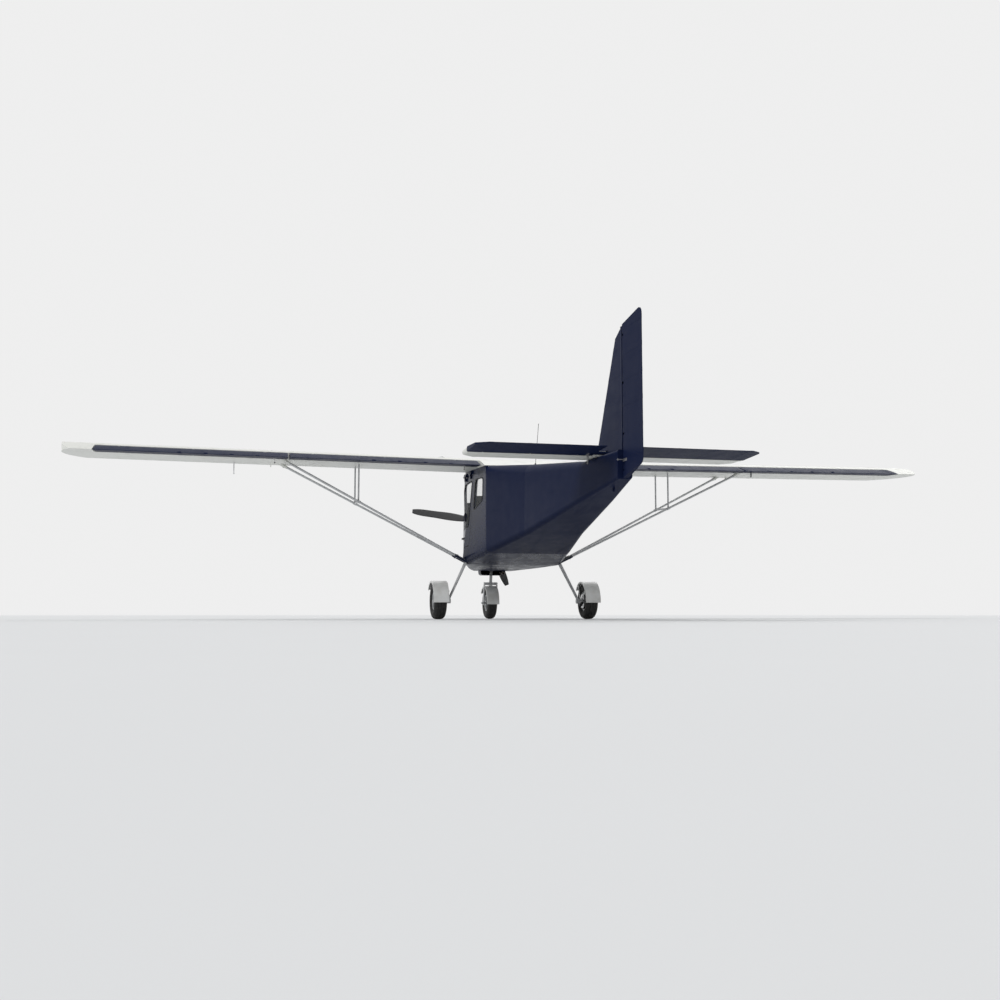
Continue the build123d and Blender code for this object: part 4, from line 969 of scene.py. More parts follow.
# Rows of fasteners. Columns: node, start, end, direction towards the skin, count
SCREW_ROWS = (
    ("cowl_upper", (2.16, 0.7, 1.108), (2.70, 0.7, 1.108), -Y_AXIS, 7),
    ("cowl_upper", (2.128, 0.7, 1.12), (2.128, 0.7, 1.26), -Y_AXIS, 2),
    ("cowl_lower", (2.128, 0.7, 0.70), (2.128, 0.7, 1.06), -Y_AXIS, 4),
    ("windscreen", (2.055, 0.8, 1.336), (1.475, 0.8, 1.617), -Y_AXIS, 11),
)
RIVET_ROWS = (
    ("floor_pan", (2.06, 0.9, 0.676), (1.22, 0.9, 0.730), -Y_AXIS, 18),
    ("floor_pan", (1.0, 0.9, 0.746), (0.43, 0.9, 0.782), -Y_AXIS, 13),
    ("cabin_side_left", (2.06, 0.9, 0.708), (1.22, 0.9, 0.762), -Y_AXIS, 18),
    ("cabin_side_left", (0.9, 0.9, 0.784), (0.43, 0.9, 0.815), -Y_AXIS, 11),
    ("cabin_side_left", (0.885, 0.9, 0.86), (0.885, 0.9, 1.15), -Y_AXIS, 7),
    ("cabin_side_left", (2.083, 0.7, 0.74), (2.083, 0.7, 1.26), -Y_AXIS, 12),
    ("cabin_side_left", (0.416, 0.8, 0.84), (0.416, 0.8, 1.60), -Y_AXIS, 17),
)
# The same across the middle, so not mirrored
CROSS_ROWS = (
    ("cowl_upper", (2.13, -0.2, 1.6), (2.13, 0.2, 1.6), -Z_AXIS, 7),
    ("cowl_lower", (2.13, -0.18, 0.3), (2.13, 0.18, 0.3), Z_AXIS, 5),
)


def row_spots(rows, doubled):
    """Places and normals of rows of fasteners on the skins."""
    spots = []
    for node, start, end, direction, count in rows:
        for point in between(start, end, count):
            spot = on_skin(point, direction, node)
            spots += both_sides(*spot) if doubled else [spot]
    return spots


SPINNER_SCREWS = 12
SPINNER_FOOT = Vector((2.803, 0, 1.23))
SPINNER_REACH = 0.3
# A ray that goes further than this has passed through a blade's slot
SPINNER_FARTHEST_HIT = 0.2


def spinner_spots():
    """Places of the screws round the spinner's foot, none in the blades' slots."""
    spots = []
    for step in range(SPINNER_SCREWS):
        turn = 2 * pi * (step + 0.5) / SPINNER_SCREWS
        out = Vector((0, cos(turn), sin(turn)))
        start = SPINNER_FOOT + out * SPINNER_REACH
        place, normal, _, _ = skin_of("spinner").ray_cast(start, -out)
        if place is not None and (place - start).length < SPINNER_FARTHEST_HIT:
            spots.append((place, normal))
    return spots


class MICROLIGHT_OT_fasteners(bpy.types.Operator):
    """Set screws and rivets along the panels' edges."""

    bl_idname = "microlight.fasteners"
    bl_label = "Fasteners"

    def execute(self, context):
        spots = row_spots(SCREW_ROWS, True) + row_spots(CROSS_ROWS, False)
        screws = scattered(dome(*SCREW_HEAD), spots)
        complete(screws, "panel_screws", dull_steel, "sheet_metal")
        rivets = scattered(dome(*RIVET_HEAD), row_spots(RIVET_ROWS, True))
        complete(rivets, "panel_rivets", navy_panel, "navy_panel")
        spinner_screws = scattered(dome(*SPINNER_SCREW_HEAD), spinner_spots())
        complete(spinner_screws, "spinner_screws", bright_steel, "sheet_metal", "propeller")
        return {"FINISHED"}


# Rubber round the windows

# Outlines in side view, in metres along x and z
DOOR_WINDOW = ((1.8, 1.01), (1.8, 1.215), (1.52, 1.43), (1.45, 1.52), (1.0, 1.52), (1.0, 1.01))
REAR_WINDOW = ((0.85, 1.18), (0.85, 1.52), (0.52, 1.5), (0.52, 1.26))
OUTLINE_CUTS = 9


def side_bead(outline, corner, radius, nodes, side):
    """Rubber bead laid along an outline on the aircraft's side."""
    bpy.ops.mesh.primitive_circle_add(vertices=len(outline), radius=1)
    piece = bpy.context.object
    for vertex, (x, z) in zip(piece.data.vertices, outline):
        vertex.co = (x, side, z)
    with editing(piece):
        bpy.ops.mesh.bevel(offset=corner, segments=6, affect="VERTICES")
        bpy.ops.mesh.select_all(action="SELECT")
        bpy.ops.mesh.subdivide(number_cuts=OUTLINE_CUTS)
    for vertex in piece.data.vertices:
        start = Vector((vertex.co.x, side, vertex.co.z))
        vertex.co, _ = on_skin(start, -Y_AXIS * side, *nodes)
    select_only(piece)
    bpy.ops.object.convert(target="CURVE")
    curve = bpy.context.object
    curve.data.bevel_depth = radius
    curve.data.bevel_resolution = 2
    bpy.ops.object.convert(target="MESH")
    return smooth(bpy.context.object, 60)


class MICROLIGHT_OT_seals(bpy.types.Operator):
    """Lay rubber beads round the door windows and the rear windows."""

    bl_idname = "microlight.seals"
    bl_label = "Seals"

    def execute(self, context):
        radius = covering().bead_radius
        for name, side in SIDES:
            door = f"door_{name}"
            around = (f"door_glass_{name}", door, f"cabin_side_{name}", "rear_windows")
            window = side_bead(DOOR_WINDOW, 0.04, radius, around[:2], side)
            complete(window, f"door_window_seal_{name}", plain_rubber, "dark_plastic", door)
            rear = side_bead(REAR_WINDOW, 0.04, radius, around[2:], side)
            complete(rear, f"rear_window_seal_{name}", plain_rubber, "dark_plastic")
        return {"FINISHED"}


# Door handles

HANDLE_X = 1.44
HANDLE_HEIGHT = 0.905
HANDLE_GRIP = (0.115, 0.009, 0.022)


def door_handle(node, side):
    """Paddle on a foot over a round rose."""
    place, normal = on_skin((HANDLE_X, side, HANDLE_HEIGHT), -Y_AXIS * side, node)
    turn = (-side * normal.z, 0, 0)
    rose = rod(place, place + normal * 0.004, 0.021, sides=32)
    foot = rod(place, place + normal * 0.02, 0.008, sides=20)
    over_foot = place + normal * 0.021
    grip = block(HANDLE_GRIP, over_foot - X_AXIS * 0.036, turn, 0.003)
    with editing(grip):
        end = place.x - 0.08
        pick_faces(grip, lambda middle, _: middle.x < end)
        thin_end = over_foot - X_AXIS * 0.09
        bpy.ops.transform.resize(value=(1, 0.8, 0.75), center_override=tuple(thin_end))
    return joined([rose, foot, grip])


class MICROLIGHT_OT_door_fittings(bpy.types.Operator):
    """Model the door handles."""

    bl_idname = "microlight.door_fittings"
    bl_label = "Door Fittings"

    def execute(self, context):
        for name, side in SIDES:
            handle = door_handle(f"door_{name}", side)
            complete(handle, f"door_handle_{name}", dark_moulding, "dark_plastic", f"door_{name}")
        return {"FINISHED"}


# Wing fittings

STRUT_ENDS = (
    ((1.152, 0.548, 0.640), (1.290, 2.550, 1.6772)),
    ((1.062, 0.548, 0.640), (0.700, 2.550, 1.6504)),
)
LOWER_BOLT = 0.108
UPPER_BOLT = 0.035
SOCKET_HALF_DEPTH = 0.016


def strut_bolts():
    """Bolts through the sockets at both ends of every strut."""
    pieces = []
    for low, high in STRUT_ENDS:
        low, high = Vector(low), Vector(high)
        axis = (high - low).normalized()
        depth = axis.cross(X_AXIS).normalized()
        for foot in (low + axis * LOWER_BOLT, high - axis * UPPER_BOLT):
            for out in (depth, -depth):
                start = foot + out * (SOCKET_HALF_DEPTH - 0.001)
                for spot in both_sides(start, out):
                    pieces.append(hexagon(*spot, *STRUT_BOLT))
    return joined(pieces)


# Heights from which a ray looks up at the wings and down at the aircraft
UNDER_WING = 1.2
ABOVE = 2.2
# Round covers under the wings. Columns: x, y
COVER_PLACES = ((1.02, 1.25), (0.74, 1.50), (1.0, 2.2), (0.74, 2.86), (0.74, 3.56), (1.05, 3.3))
COVER_RADIUS = 0.05


def hand_hole_covers():
    """Thin round covers over the holes through which the wing's inside is reached."""
    spots = []
    for x, y in COVER_PLACES:
        spots += both_sides(*on_skin((x, y, UNDER_WING), Z_AXIS, "wing_left"))
    bpy.ops.mesh.primitive_cylinder_add(vertices=48, radius=COVER_RADIUS, depth=0.002)
    cover = bpy.context.object
    modify(cover, "BEVEL", width=0.0012, segments=2, limit_method="ANGLE")
    return scattered(smooth(cover), spots)


def cover_screws():
    """Four screws in each cover."""
    spots = []
    reach = COVER_RADIUS * 0.8
    for x, y in COVER_PLACES:
        for step in range(4):
            turn = pi * (step + 0.5) / 2
            start = (x + cos(turn) * reach, y + sin(turn) * reach, UNDER_WING)
            place, normal = on_skin(start, Z_AXIS, "wing_left")
            spots += both_sides(place + normal * 0.0008, normal)
    return scattered(dome(*COVER_SCREW_HEAD), spots)


# Filler cap turned about its middle. Columns: up, out
CAP_OUTLINE = (
    (-0.002, 0.0), (-0.002, 0.052), (0.003, 0.052), (0.004, 0.049), (0.004, 0.041), (0.012, 0.039),
    (0.015, 0.036), (0.016, 0.031), (0.0145, 0.029), (0.0145, 0.0),
)
CAP_X = 1.18
CAP_STATION = 0.8


def filler_cap(name, side):
    """Filler cap with its tab on the top of one wing."""
    place, normal = on_skin((CAP_X, side * CAP_STATION, ABOVE), -Z_AXIS, f"wing_{name}")
    cap = spun(CAP_OUTLINE, place, normal, 40)
    tab = block((0.05, 0.006, 0.008), place + normal * 0.018, (0, 0, 0.6 * side), 0.0015)
    return joined([cap, tab])


PITOT_START = (1.3, 3.05, UNDER_WING)
# Bends of the tube, from the place where it leaves the wing
PITOT_ROUTE = (
    (-0.05, 0, 0.01), (-0.045, 0, -0.05), (-0.02, 0, -0.085), (0.06, 0, -0.09), (0.23, 0, -0.09)
)
AERIAL_START = (0.1, 0, ABOVE)
AERIAL_REACH = Vector((-0.13, 0, 0.42))
# Foot of the aerial. Columns: up, out
AERIAL_FOOT = ((0, 0), (0, 0.024), (0.004, 0.024), (0.016, 0.011), (0.03, 0.007), (0.03, 0))


def pitot_tube():
    """Bent tube that looks forward under the port wing."""
    place, _ = on_skin(PITOT_START, Z_AXIS, "wing_left")
    route = [place + Vector(offset) for offset in PITOT_ROUTE]
    tube = pipe(route, 0.0055)
    foot = rod(route[0], route[0] - Z_AXIS * 0.016, 0.016, sides=28)
    tip = rod(route[-1] - X_AXIS * 0.03, route[-1], 0.007, sides=20)
    return joined([tube, foot, tip])


def whip_aerial():
    """Leaning rod aerial on a rubber foot behind the cabin."""
    place, normal = on_skin(AERIAL_START, -Z_AXIS, "tail_cone")
    foot = spun(AERIAL_FOOT, place, normal, 24)
    mast = rod(place + normal * 0.02, place + AERIAL_REACH, 0.0024, sides=12)
    ball = dome(0.005, 0.005)
    ball.location = place + AERIAL_REACH
    return joined([foot, mast, settle(ball)])


class MICROLIGHT_OT_wing_fittings(bpy.types.Operator):
    """Model strut bolts, covers, filler caps, pitot tube and aerial."""

    bl_idname = "microlight.wing_fittings"
    bl_label = "Wing Fittings"

    def execute(self, context):
        complete(strut_bolts(), "strut_bolts", bright_steel, "sheet_metal")
        complete(hand_hole_covers(), "hand_hole_covers", white_panel, "white_plastic")
        complete(cover_screws(), "cover_screws", bright_steel, "sheet_metal")
        caps = joined([filler_cap(name, side) for name, side in SIDES])
        complete(caps, "filler_caps", cast_alloy, "sheet_metal")
        complete(pitot_tube(), "pitot_tube", bright_steel, "sheet_metal")
        complete(whip_aerial(), "whip_aerial", plain_rubber, "dark_plastic")
        return {"FINISHED"}


# Fittings of the moving surfaces

TAPE_OVERHANG = 0.0125
TAPE_GRIP = 0.013
GAP_TAPE_THICKNESS = 0.001

# Tapes over the hinge gaps. Columns: name, colour, gap's front edge and hinge line, middle across
# the aircraft and its height, half-depth of the fixed part, length, axis across the skin
GAP_TAPES = (
    ("fin_gap_tapes", "navy", (-2.685, -2.716), (0, 1.882), 0.024, 0.95, Y_AXIS),
    ("stabiliser_gap_tape_left", "white", (-2.261, -2.29), (0.675, 1.382), 0.022, 1.04, Z_AXIS),
    ("stabiliser_gap_tape_right", "white", (-2.261, -2.29), (-0.675, 1.382), 0.022, 1.04, Z_AXIS),
)


def gap_tape(gap, middle, half_depth, length, across):
    """Tapes on both skins of a fixed surface that close the view through its hinge gap."""
    front, back = gap[0] + TAPE_GRIP, gap[1] + TAPE_OVERHANG
    along = X_AXIS.cross(across)
    size = box_size((X_AXIS, front - back), (across, GAP_TAPE_THICKNESS), (along, length))
    pieces = []
    for out in (across, -across):
        centre = Vector(((front + back) / 2, *middle)) + out * (half_depth + GAP_TAPE_THICKNESS / 2)
        tape = block(size, centre, edge=0.0003)
        with editing(tape):
            bpy.ops.mesh.subdivide(number_cuts=1)
        pieces.append(tape)
    return joined(pieces)


HORN_THICKNESS = 0.003
HORN_ROOT = 0.06
HORN_SUNK = 0.01
# Length of the tip as a share of the root
HORN_TIP_SHARE = 0.32
HORN_BASE = (0.08, 0.022, 0.0025)
HORN_BOLT_STEP = 0.033
# Control horns. Columns: name, moving surface, front of the root, way out, reach
HORNS = (
    ("rudder_horn_left", "rudder", (-2.716, 0, 1.27), Y_AXIS, 0.088),
    ("rudder_horn_right", "rudder", (-2.716, 0, 1.27), -Y_AXIS, 0.088),
    ("elevator_horn", "elevator", (-2.306, 0.2, 1.382), -Z_AXIS, 0.1),
)
# Horns under the wings' surfaces. Columns: surface, station, reach below the skin
WING_HORNS = (("aileron", 2.64, 0.055), ("flap", 0.66, 0.045))
WING_HORN_X = 0.56


def control_horn(foot, out, reach):
    """Tapered plate that stands out of a moving surface, with a pin near its tip."""
    foot = Vector(foot)
    flat = X_AXIS.cross(out)
    size = box_size((X_AXIS, HORN_ROOT), (out, reach), (flat, HORN_THICKNESS))
    plate = block(size, foot - X_AXIS * HORN_ROOT / 2 + out * reach / 2, edge=0.0008)
    with editing(plate):
        tip = foot + out * reach
        pick_faces(plate, lambda middle, _: (middle - tip).dot(out) > -0.002)
        centre = tip - X_AXIS * HORN_ROOT * 0.35
        bpy.ops.transform.resize(value=(HORN_TIP_SHARE, 1, 1), center_override=tuple(centre))
    pin = foot + out * (reach - 0.01) - X_AXIS * HORN_ROOT * 0.36
    pieces = [plate, rod(pin - flat * 0.009, pin + flat * 0.009, 0.003, 16)]
    for face in (flat, -flat):
        pieces.append(hexagon(pin + face * HORN_THICKNESS / 2, face, *HORN_PIN))
    return joined(pieces)


def horn_base(place, normal):
    """Small plate on the skin round a horn's root, with a bolt at each end."""
    along = X_AXIS - normal * normal.dot(X_AXIS)
    along.normalize()
    turn = Matrix((along, normal.cross(along), normal)).transposed().to_euler()
    pieces = [block(HORN_BASE, place + normal * 0.0008, turn, 0.0006)]
    for step in (-HORN_BOLT_STEP, HORN_BOLT_STEP):
        pieces.append(hexagon(place + along * step, normal, *HORN_BOLT))
    return pieces


class MICROLIGHT_OT_surface_fittings(bpy.types.Operator):
    """Model the tapes over the tail's hinge gaps and the control horns."""

    bl_idname = "microlight.surface_fittings"
    bl_label = "Surface Fittings"

    def execute(self, context):
        for name, colour, *layout in GAP_TAPES:
            complete(gap_tape(*layout), name, *COVERS[colour])
        horns = list(HORNS)
        for surface, station, reach in WING_HORNS:
            for side_name, side in SIDES:
                moving = f"{surface}_{side_name}"
                start = (WING_HORN_X, side * station, UNDER_WING)
                place, _ = on_skin(start, Z_AXIS, moving)
                foot = place + Vector((HORN_ROOT / 2, 0, HORN_SUNK))
                name = f"{surface}_horn_{side_name}"
                horns.append((name, moving, foot, -Z_AXIS, reach + HORN_SUNK))
        for name, moving, foot, out, reach in horns:
            middle = Vector(foot) - X_AXIS * HORN_ROOT / 2
            spot = on_skin(middle + out * 0.3, -out, moving)
            parts = [control_horn(foot, out, reach), *horn_base(*spot)]
            complete(joined(parts), name, dull_steel, "sheet_metal", moving)
        return {"FINISHED"}


# Nose fittings

# Mouth of the cowl's inlet
INTAKE_FACE_X = 2.76
INTAKE_Z = 0.985
INTAKE_HALF_WIDTH = 0.115
INTAKE_RADIUS = 0.042


def intake_lip():
    """Rolled lip round the cowl's inlet."""
    y = INTAKE_HALF_WIDTH - INTAKE_RADIUS
    points = bend(INTAKE_FACE_X, y, INTAKE_Z, INTAKE_RADIUS, -90, 90, 8)
    points += bend(INTAKE_FACE_X, -y, INTAKE_Z, INTAKE_RADIUS, 90, 270, 8)
    return pipe(points, 0.0055, closed=True, smooth_path=False)


# Radiator's core
CORE_X = 2.667
FINS = 30
FIN_PITCH = 0.008
CORE_TUBES = (-0.036, -0.012, 0.012, 0.036)


def radiator():
    """Finned core behind the inlet, on its back plate."""
    pieces = [block((0.004, 0.25, 0.11), (CORE_X - 0.012, 0, INTAKE_Z), edge=0.001)]
    for step in range(FINS):
        y = FIN_PITCH * (step - (FINS - 1) / 2)
        pieces.append(block((0.022, 0.0012, 0.1), (CORE_X, y, INTAKE_Z), edge=0.0003))
    for rise in CORE_TUBES:
        pieces.append(block((0.024, 0.244, 0.004), (CORE_X, 0, INTAKE_Z + rise), edge=0.0008))
    return joined(pieces)


# Clamps round the silencer and the tail pipe. Columns: middle, half-width, radius, axis
CLAMPS = (
    ((2.175, -0.11, 0.68), 0.006, 0.0452, (1, 0, 0)),
    ((2.305, -0.11, 0.68), 0.006, 0.0452, (1, 0, 0)),
    ((2.075, -0.11, 0.5432), 0.007, 0.0171, (1, 0, 0.0914)),
)
CLAMP_THICKNESS = 0.0016
EAR_DEPTH = 0.012
EAR_THICKNESS = 0.003


def exhaust_clamps():
    """Bands with a bolted ear round the silencer and the tail pipe."""
    pieces = []
    for middle, half, radius, direction in CLAMPS:
        axis = Vector(direction).normalized()
        outer = radius + CLAMP_THICKNESS
        band = ((-half, radius), (-half, outer), (half, outer), (half, radius))
        pieces.append(spun(band, middle, axis, 40))
        ear = Vector(middle) + Vector((0, -outer - 0.004, 0))
        for rise in (EAR_THICKNESS, -EAR_THICKNESS):
            size = (2 * half, EAR_DEPTH, EAR_THICKNESS)
            pieces.append(block(size, ear + Z_AXIS * rise, edge=0.0006))
        pieces.append(hexagon(ear + Z_AXIS * 0.0045, Z_AXIS, *CLAMP_BOLT))
    return joined(pieces)


# Mouth of the duct under the chin
CHIN_MOUTH_X = 2.1135
CHIN_MOUTH_HALF = 0.148
CHIN_MOUTH_LOW = 0.522
CHIN_LIP_TOP = 0.566
CHIN_CORNER = 0.03


def chin_lip():
    """Rubber edging round the lower part of the duct's mouth."""
    y, z = CHIN_MOUTH_HALF - CHIN_CORNER, CHIN_MOUTH_LOW + CHIN_CORNER
    points = [
        (CHIN_MOUTH_X, CHIN_MOUTH_HALF, CHIN_LIP_TOP),
        *bend(CHIN_MOUTH_X, y, z, CHIN_CORNER, 0, -90, 6),
        *bend(CHIN_MOUTH_X, -y, z, CHIN_CORNER, -90, -180, 6),
        (CHIN_MOUTH_X, -CHIN_MOUTH_HALF, CHIN_LIP_TOP),
    ]
    return pipe(points, 0.0038, smooth_path=False)


class MICROLIGHT_OT_nose_fittings(bpy.types.Operator):
    """Model the inlet's lip, the radiator, the silencer's clamps and the duct's edging."""

    bl_idname = "microlight.nose_fittings"
    bl_label = "Nose Fittings"

    def execute(self, context):
        complete(intake_lip(), "intake_lip", plain_rubber, "dark_plastic")
        complete(radiator(), "radiator", dark_casting, "engine_metal")
        complete(exhaust_clamps(), "exhaust_clamps", dull_steel, "sheet_metal")
        complete(chin_lip(), "chin_lip", plain_rubber, "dark_plastic")
        return {"FINISHED"}


# Instruments and controls

PANEL_FACE_X = 1.95
# Columns: y, z, radius, needle angle in degrees
DIALS = (
    (0.23, 1.275, 0.041, 210), (0.13, 1.275, 0.041, 150), (0.23, 1.175, 0.041, 95),
    (0.13, 1.175, 0.041, 265), (0.035, 1.29, 0.03, 240), (-0.04, 1.29, 0.03, 200),
    (-0.14, 1.285, 0.03, 225), (-0.215, 1.285, 0.03, 215), (-0.14, 1.21, 0.03, 230),
    (-0.215, 1.21, 0.03, 190),
)


def panel_point(y, z, out=0.0):
    """Point out from the instrument panel, towards the seats."""
    return Vector((PANEL_FACE_X - out, y, z))


def dial_bezels():
    """Rings with raised edges."""
    pieces = []
    for y, z, radius, _ in DIALS:
        outline = (
            (0, radius - 0.004), (0.007, radius - 0.004), (0.009, radius - 0.002),
            (0.0085, radius + 0.002), (0.004, radius + 0.004), (0, radius + 0.004),
        )
        pieces.append(spun(outline, panel_point(y, z), -X_AXIS, 40))
    return joined(pieces)


def dial_faces():
    """Discs inside the bezels."""
    pieces = []
    for y, z, radius, _ in DIALS:
        outline = ((0, 0), (0, radius - 0.003), (0.003, radius - 0.003), (0.003, 0))
        pieces.append(spun(outline, panel_point(y, z), -X_AXIS, 40))
    return joined(pieces)


# Scale of a dial, in degrees
SCALE_START = -60
SCALE_PITCH = 30
SCALE_MARKS = 11
# Marks of a scale, as shares of the dial's radius. Columns: inner end, length
LONG_MARK = (0.66, 0.2)
SHORT_MARK = (0.74, 0.12)


def dial_marks():
    """Scale marks and needles."""
    pieces = []
    for y, z, radius, needle in DIALS:
        for step in range(SCALE_MARKS):
            turn = radians(SCALE_START + SCALE_PITCH * step)
            out = Vector((0, cos(turn), sin(turn)))
            inner, length = SHORT_MARK if step % 2 else LONG_MARK
            start = panel_point(y, z, 0.0032) + out * radius * inner
            pieces.append(rod(start, start + out * radius * length, 0.0007, 6, 0.0001))
        turn = radians(needle)
        out = Vector((0, cos(turn), sin(turn)))
        middle = panel_point(y, z, 0.0045)
        tail, tip = middle - out * radius * 0.18, middle + out * radius * 0.68
        pieces.append(rod(tail, tip, 0.0009, 8, 0.0001))
        pieces.append(rod(middle, middle - X_AXIS * 0.0015, 0.0035, 16, 0.0002))
    return joined(pieces)


# Push-pull knob. Columns: out from the panel, radius
KNOB_OUTLINE = ((0.045, 0), (0.045, 0.012), (0.052, 0.016), (0.062, 0.014), (0.066, 0))
# Places across the panel and heights
KNOBS = (0.06, 0.1)
KNOB_HEIGHT = 1.09
RADIO_KNOBS = (0.055, -0.075)
RADIO_HEIGHT = 1.195
SWITCHES = 8
SWITCH_START = -0.26
SWITCH_PITCH = 0.034
SWITCH_HEIGHT = 1.105


def panel_fittings():
    """Radio, switches and knobs."""
    pieces = [block((0.012, 0.16, 0.05), panel_point(-0.01, RADIO_HEIGHT, 0.004), edge=0.002)]
    for y in RADIO_KNOBS:
        foot = panel_point(y, RADIO_HEIGHT)
        pieces.append(rod(foot, foot - X_AXIS * 0.026, 0.009, 24))
    for step in range(SWITCHES):
        foot = panel_point(SWITCH_START + SWITCH_PITCH * step, SWITCH_HEIGHT)
        pieces.append(hexagon(foot, -X_AXIS, *SWITCH_NUT))
        pieces.append(rod(foot, foot + Vector((-0.016, 0, 0.006)), 0.0022, 12))
    for y in KNOBS:
        foot = panel_point(y, KNOB_HEIGHT)
        pieces.append(rod(foot, foot - X_AXIS * 0.05, 0.004, 14))
        pieces.append(spun(KNOB_OUTLINE, foot, -X_AXIS, 24))
    return joined(pieces)


# Boot of the control stick. Columns: up, out
BOOT_OUTLINE = (
    (0.0, 0.0), (0.0, 0.062), (0.006, 0.062), (0.012, 0.05), (0.02, 0.054), (0.028, 0.042),
    (0.038, 0.046), (0.047, 0.034), (0.057, 0.037), (0.066, 0.026), (0.076, 0.028), (0.088, 0.0155),
    (0.1, 0.0155), (0.1, 0.0),
)
# Rudder pedals, across the cabin
PEDAL_PLACES = (0.24, 0.11, -0.11, -0.24)
PEDAL_TUBE = Vector((1.93, 0, 0.66))
PEDAL_PLATE = Vector((1.895, 0, 0.815))
PEDAL_LEAN = -0.25
PEDAL_RIBS = 4
RIB_PITCH = 0.016


def pedals():
    """Ribbed foot plates on arms from a cross tube."""
    pieces = [rod(PEDAL_TUBE - Y_AXIS * 0.29, PEDAL_TUBE + Y_AXIS * 0.29, 0.011, 20)]
    turn = (0, PEDAL_LEAN, 0)
    for y in PEDAL_PLACES:
        across = Y_AXIS * y
        pieces.append(rod(PEDAL_TUBE + across, (1.9, y, 0.83), 0.008, 16))
        pieces.append(block((0.012, 0.085, 0.075), PEDAL_PLATE + across, turn, 0.003))
        for step in range(PEDAL_RIBS):
            rise = RIB_PITCH * step - 0.025
            place = PEDAL_PLATE + across + Vector((PEDAL_LEAN * rise - 0.0055, 0, rise))
            pieces.append(block((0.004, 0.07, 0.005), place, turn, 0.0012))
    return joined(pieces)


class MICROLIGHT_OT_instruments(bpy.types.Operator):
    """Model the dials, the radio, the switches and the knobs."""

    bl_idname = "microlight.instruments"
    bl_label = "Instruments"

    def execute(self, context):
        complete(dial_bezels(), "dial_bezels", dark_moulding, "dark_plastic")
        complete(dial_faces(), "dial_faces", dial_glass, "dark_plastic")
        complete(dial_marks(), "dial_marks", dial_paint, "white_plastic")
        complete(panel_fittings(), "panel_fittings", plain_rubber, "dark_plastic")
        return {"FINISHED"}


class MICROLIGHT_OT_controls(bpy.types.Operator):
    """Model the stick's boot and the pedals."""

    bl_idname = "microlight.controls"
    bl_label = "Controls"

    def execute(self, context):
        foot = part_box("control_stick")[0].z
        boot = spun(BOOT_OUTLINE, (1.6, 0, foot), Z_AXIS, 40)
        complete(boot, "stick_boot", plain_rubber, "dark_plastic")
        complete(pedals(), "pedals", dark_casting, "engine_metal")
        return {"FINISHED"}


# Cushions

CUSHION_WIDTH = 0.43
CUSHION_THICK = 0.07
CUSHION_LIFT = 0.003
CUSHION_EDGE = 0.014
# Columns: name, length, place of its foot's middle, lean in degrees
CUSHIONS = (
    ("seat", 0.368, (1.102, 0.24, 0.8503), 0),
    ("back", 0.47, (1.0162, 0.24, 0.8622), -72.7),
)
CHANNELS = 4
CHANNEL_WIDTH = 0.011
# Height at which the channels begin, and over which they deepen
CHANNEL_START = 0.4 * CUSHION_THICK
VOXEL = 0.007
CLOTH_FRAMES = 20
CLOTH_PRESSURE = 4
SIDE_ROOM = 0.008
TOP_ROOM = 0.017
PIPING_INSET = 0.011
PIPING_CORNER = 0.03
PIPING_RADIUS = 0.0032
PIPING_HEIGHTS = (0.012, 0.052)


def stuffed(piece):
    """Puff a closed form up as cloth over stuffing, within a limit for each point."""
    modify(piece, "REMESH", mode="VOXEL", voxel_size=VOXEL)
    start = [vertex.co.copy() for vertex in piece.data.vertices]
    select_only(piece)
    cloth = piece.modifiers.new("Cloth", "CLOTH")
    cloth.settings.use_pressure = True
    cloth.settings.uniform_pressure_force = CLOTH_PRESSURE
    cloth.settings.effector_weights.gravity = 0
    cloth.point_cache.frame_end = CLOTH_FRAMES
    for step in range(1, CLOTH_FRAMES + 1):
        bpy.context.scene.frame_set(step)
    bpy.ops.object.modifier_apply(modifier=cloth.name)
    bpy.context.scene.frame_set(1)
    limit = cabin().puff
    for vertex, rest in zip(piece.data.vertices, start):
        moved = vertex.co - rest
        if moved.length > limit:
            vertex.co = rest + moved * (limit / moved.length)
    return piece


def cushion_form(length):
    """Cushion that lies on the floor with its foot at x = 0, sewn across in channels."""
    size = (length - 2 * SIDE_ROOM, CUSHION_WIDTH - 2 * SIDE_ROOM, CUSHION_THICK - TOP_ROOM)
    piece = block(size, (length / 2, 0, size[2] / 2 + CUSHION_LIFT), edge=CUSHION_EDGE)
    stuffed(piece)
    modify(piece, "SUBSURF", levels=1, render_levels=1)
    top = CUSHION_THICK - 0.001
    depth = cabin().channel_depth
    lines = [length * (step + 1) / (CHANNELS + 1) for step in range(CHANNELS)]
    for vertex in piece.data.vertices:
        point = vertex.co
        upper = max(0.0, min(1.0, (point.z - CHANNEL_START) / CHANNEL_START))
        nearest = min(abs(point.x - line) for line in lines)
        groove = max(0.0, 1 - (nearest / CHANNEL_WIDTH) ** 2) ** 2
        point.z = max(0.0005, min(top, point.z - depth * groove * upper))
    return smooth(piece, 80)


def piping(length):
    """Sewn cord round the cushion's top and bottom edges."""
    pieces = []
    near, far = PIPING_INSET, length - PIPING_INSET
    half = CUSHION_WIDTH / 2 - PIPING_INSET
    turn = PIPING_CORNER
    route = (
        (near + turn, -half), (far - turn, -half), (far, -half),
        (far, turn - half), (far, half - turn), (far, half),
        (far - turn, half), (near + turn, half), (near, half),
        (near, half - turn), (near, turn - half), (near, -half),
    )
    for height in PIPING_HEIGHTS:
        points = [(along, across, height) for along, across in route]
        pieces.append(pipe(points, PIPING_RADIUS, closed=True))
    return joined(pieces)


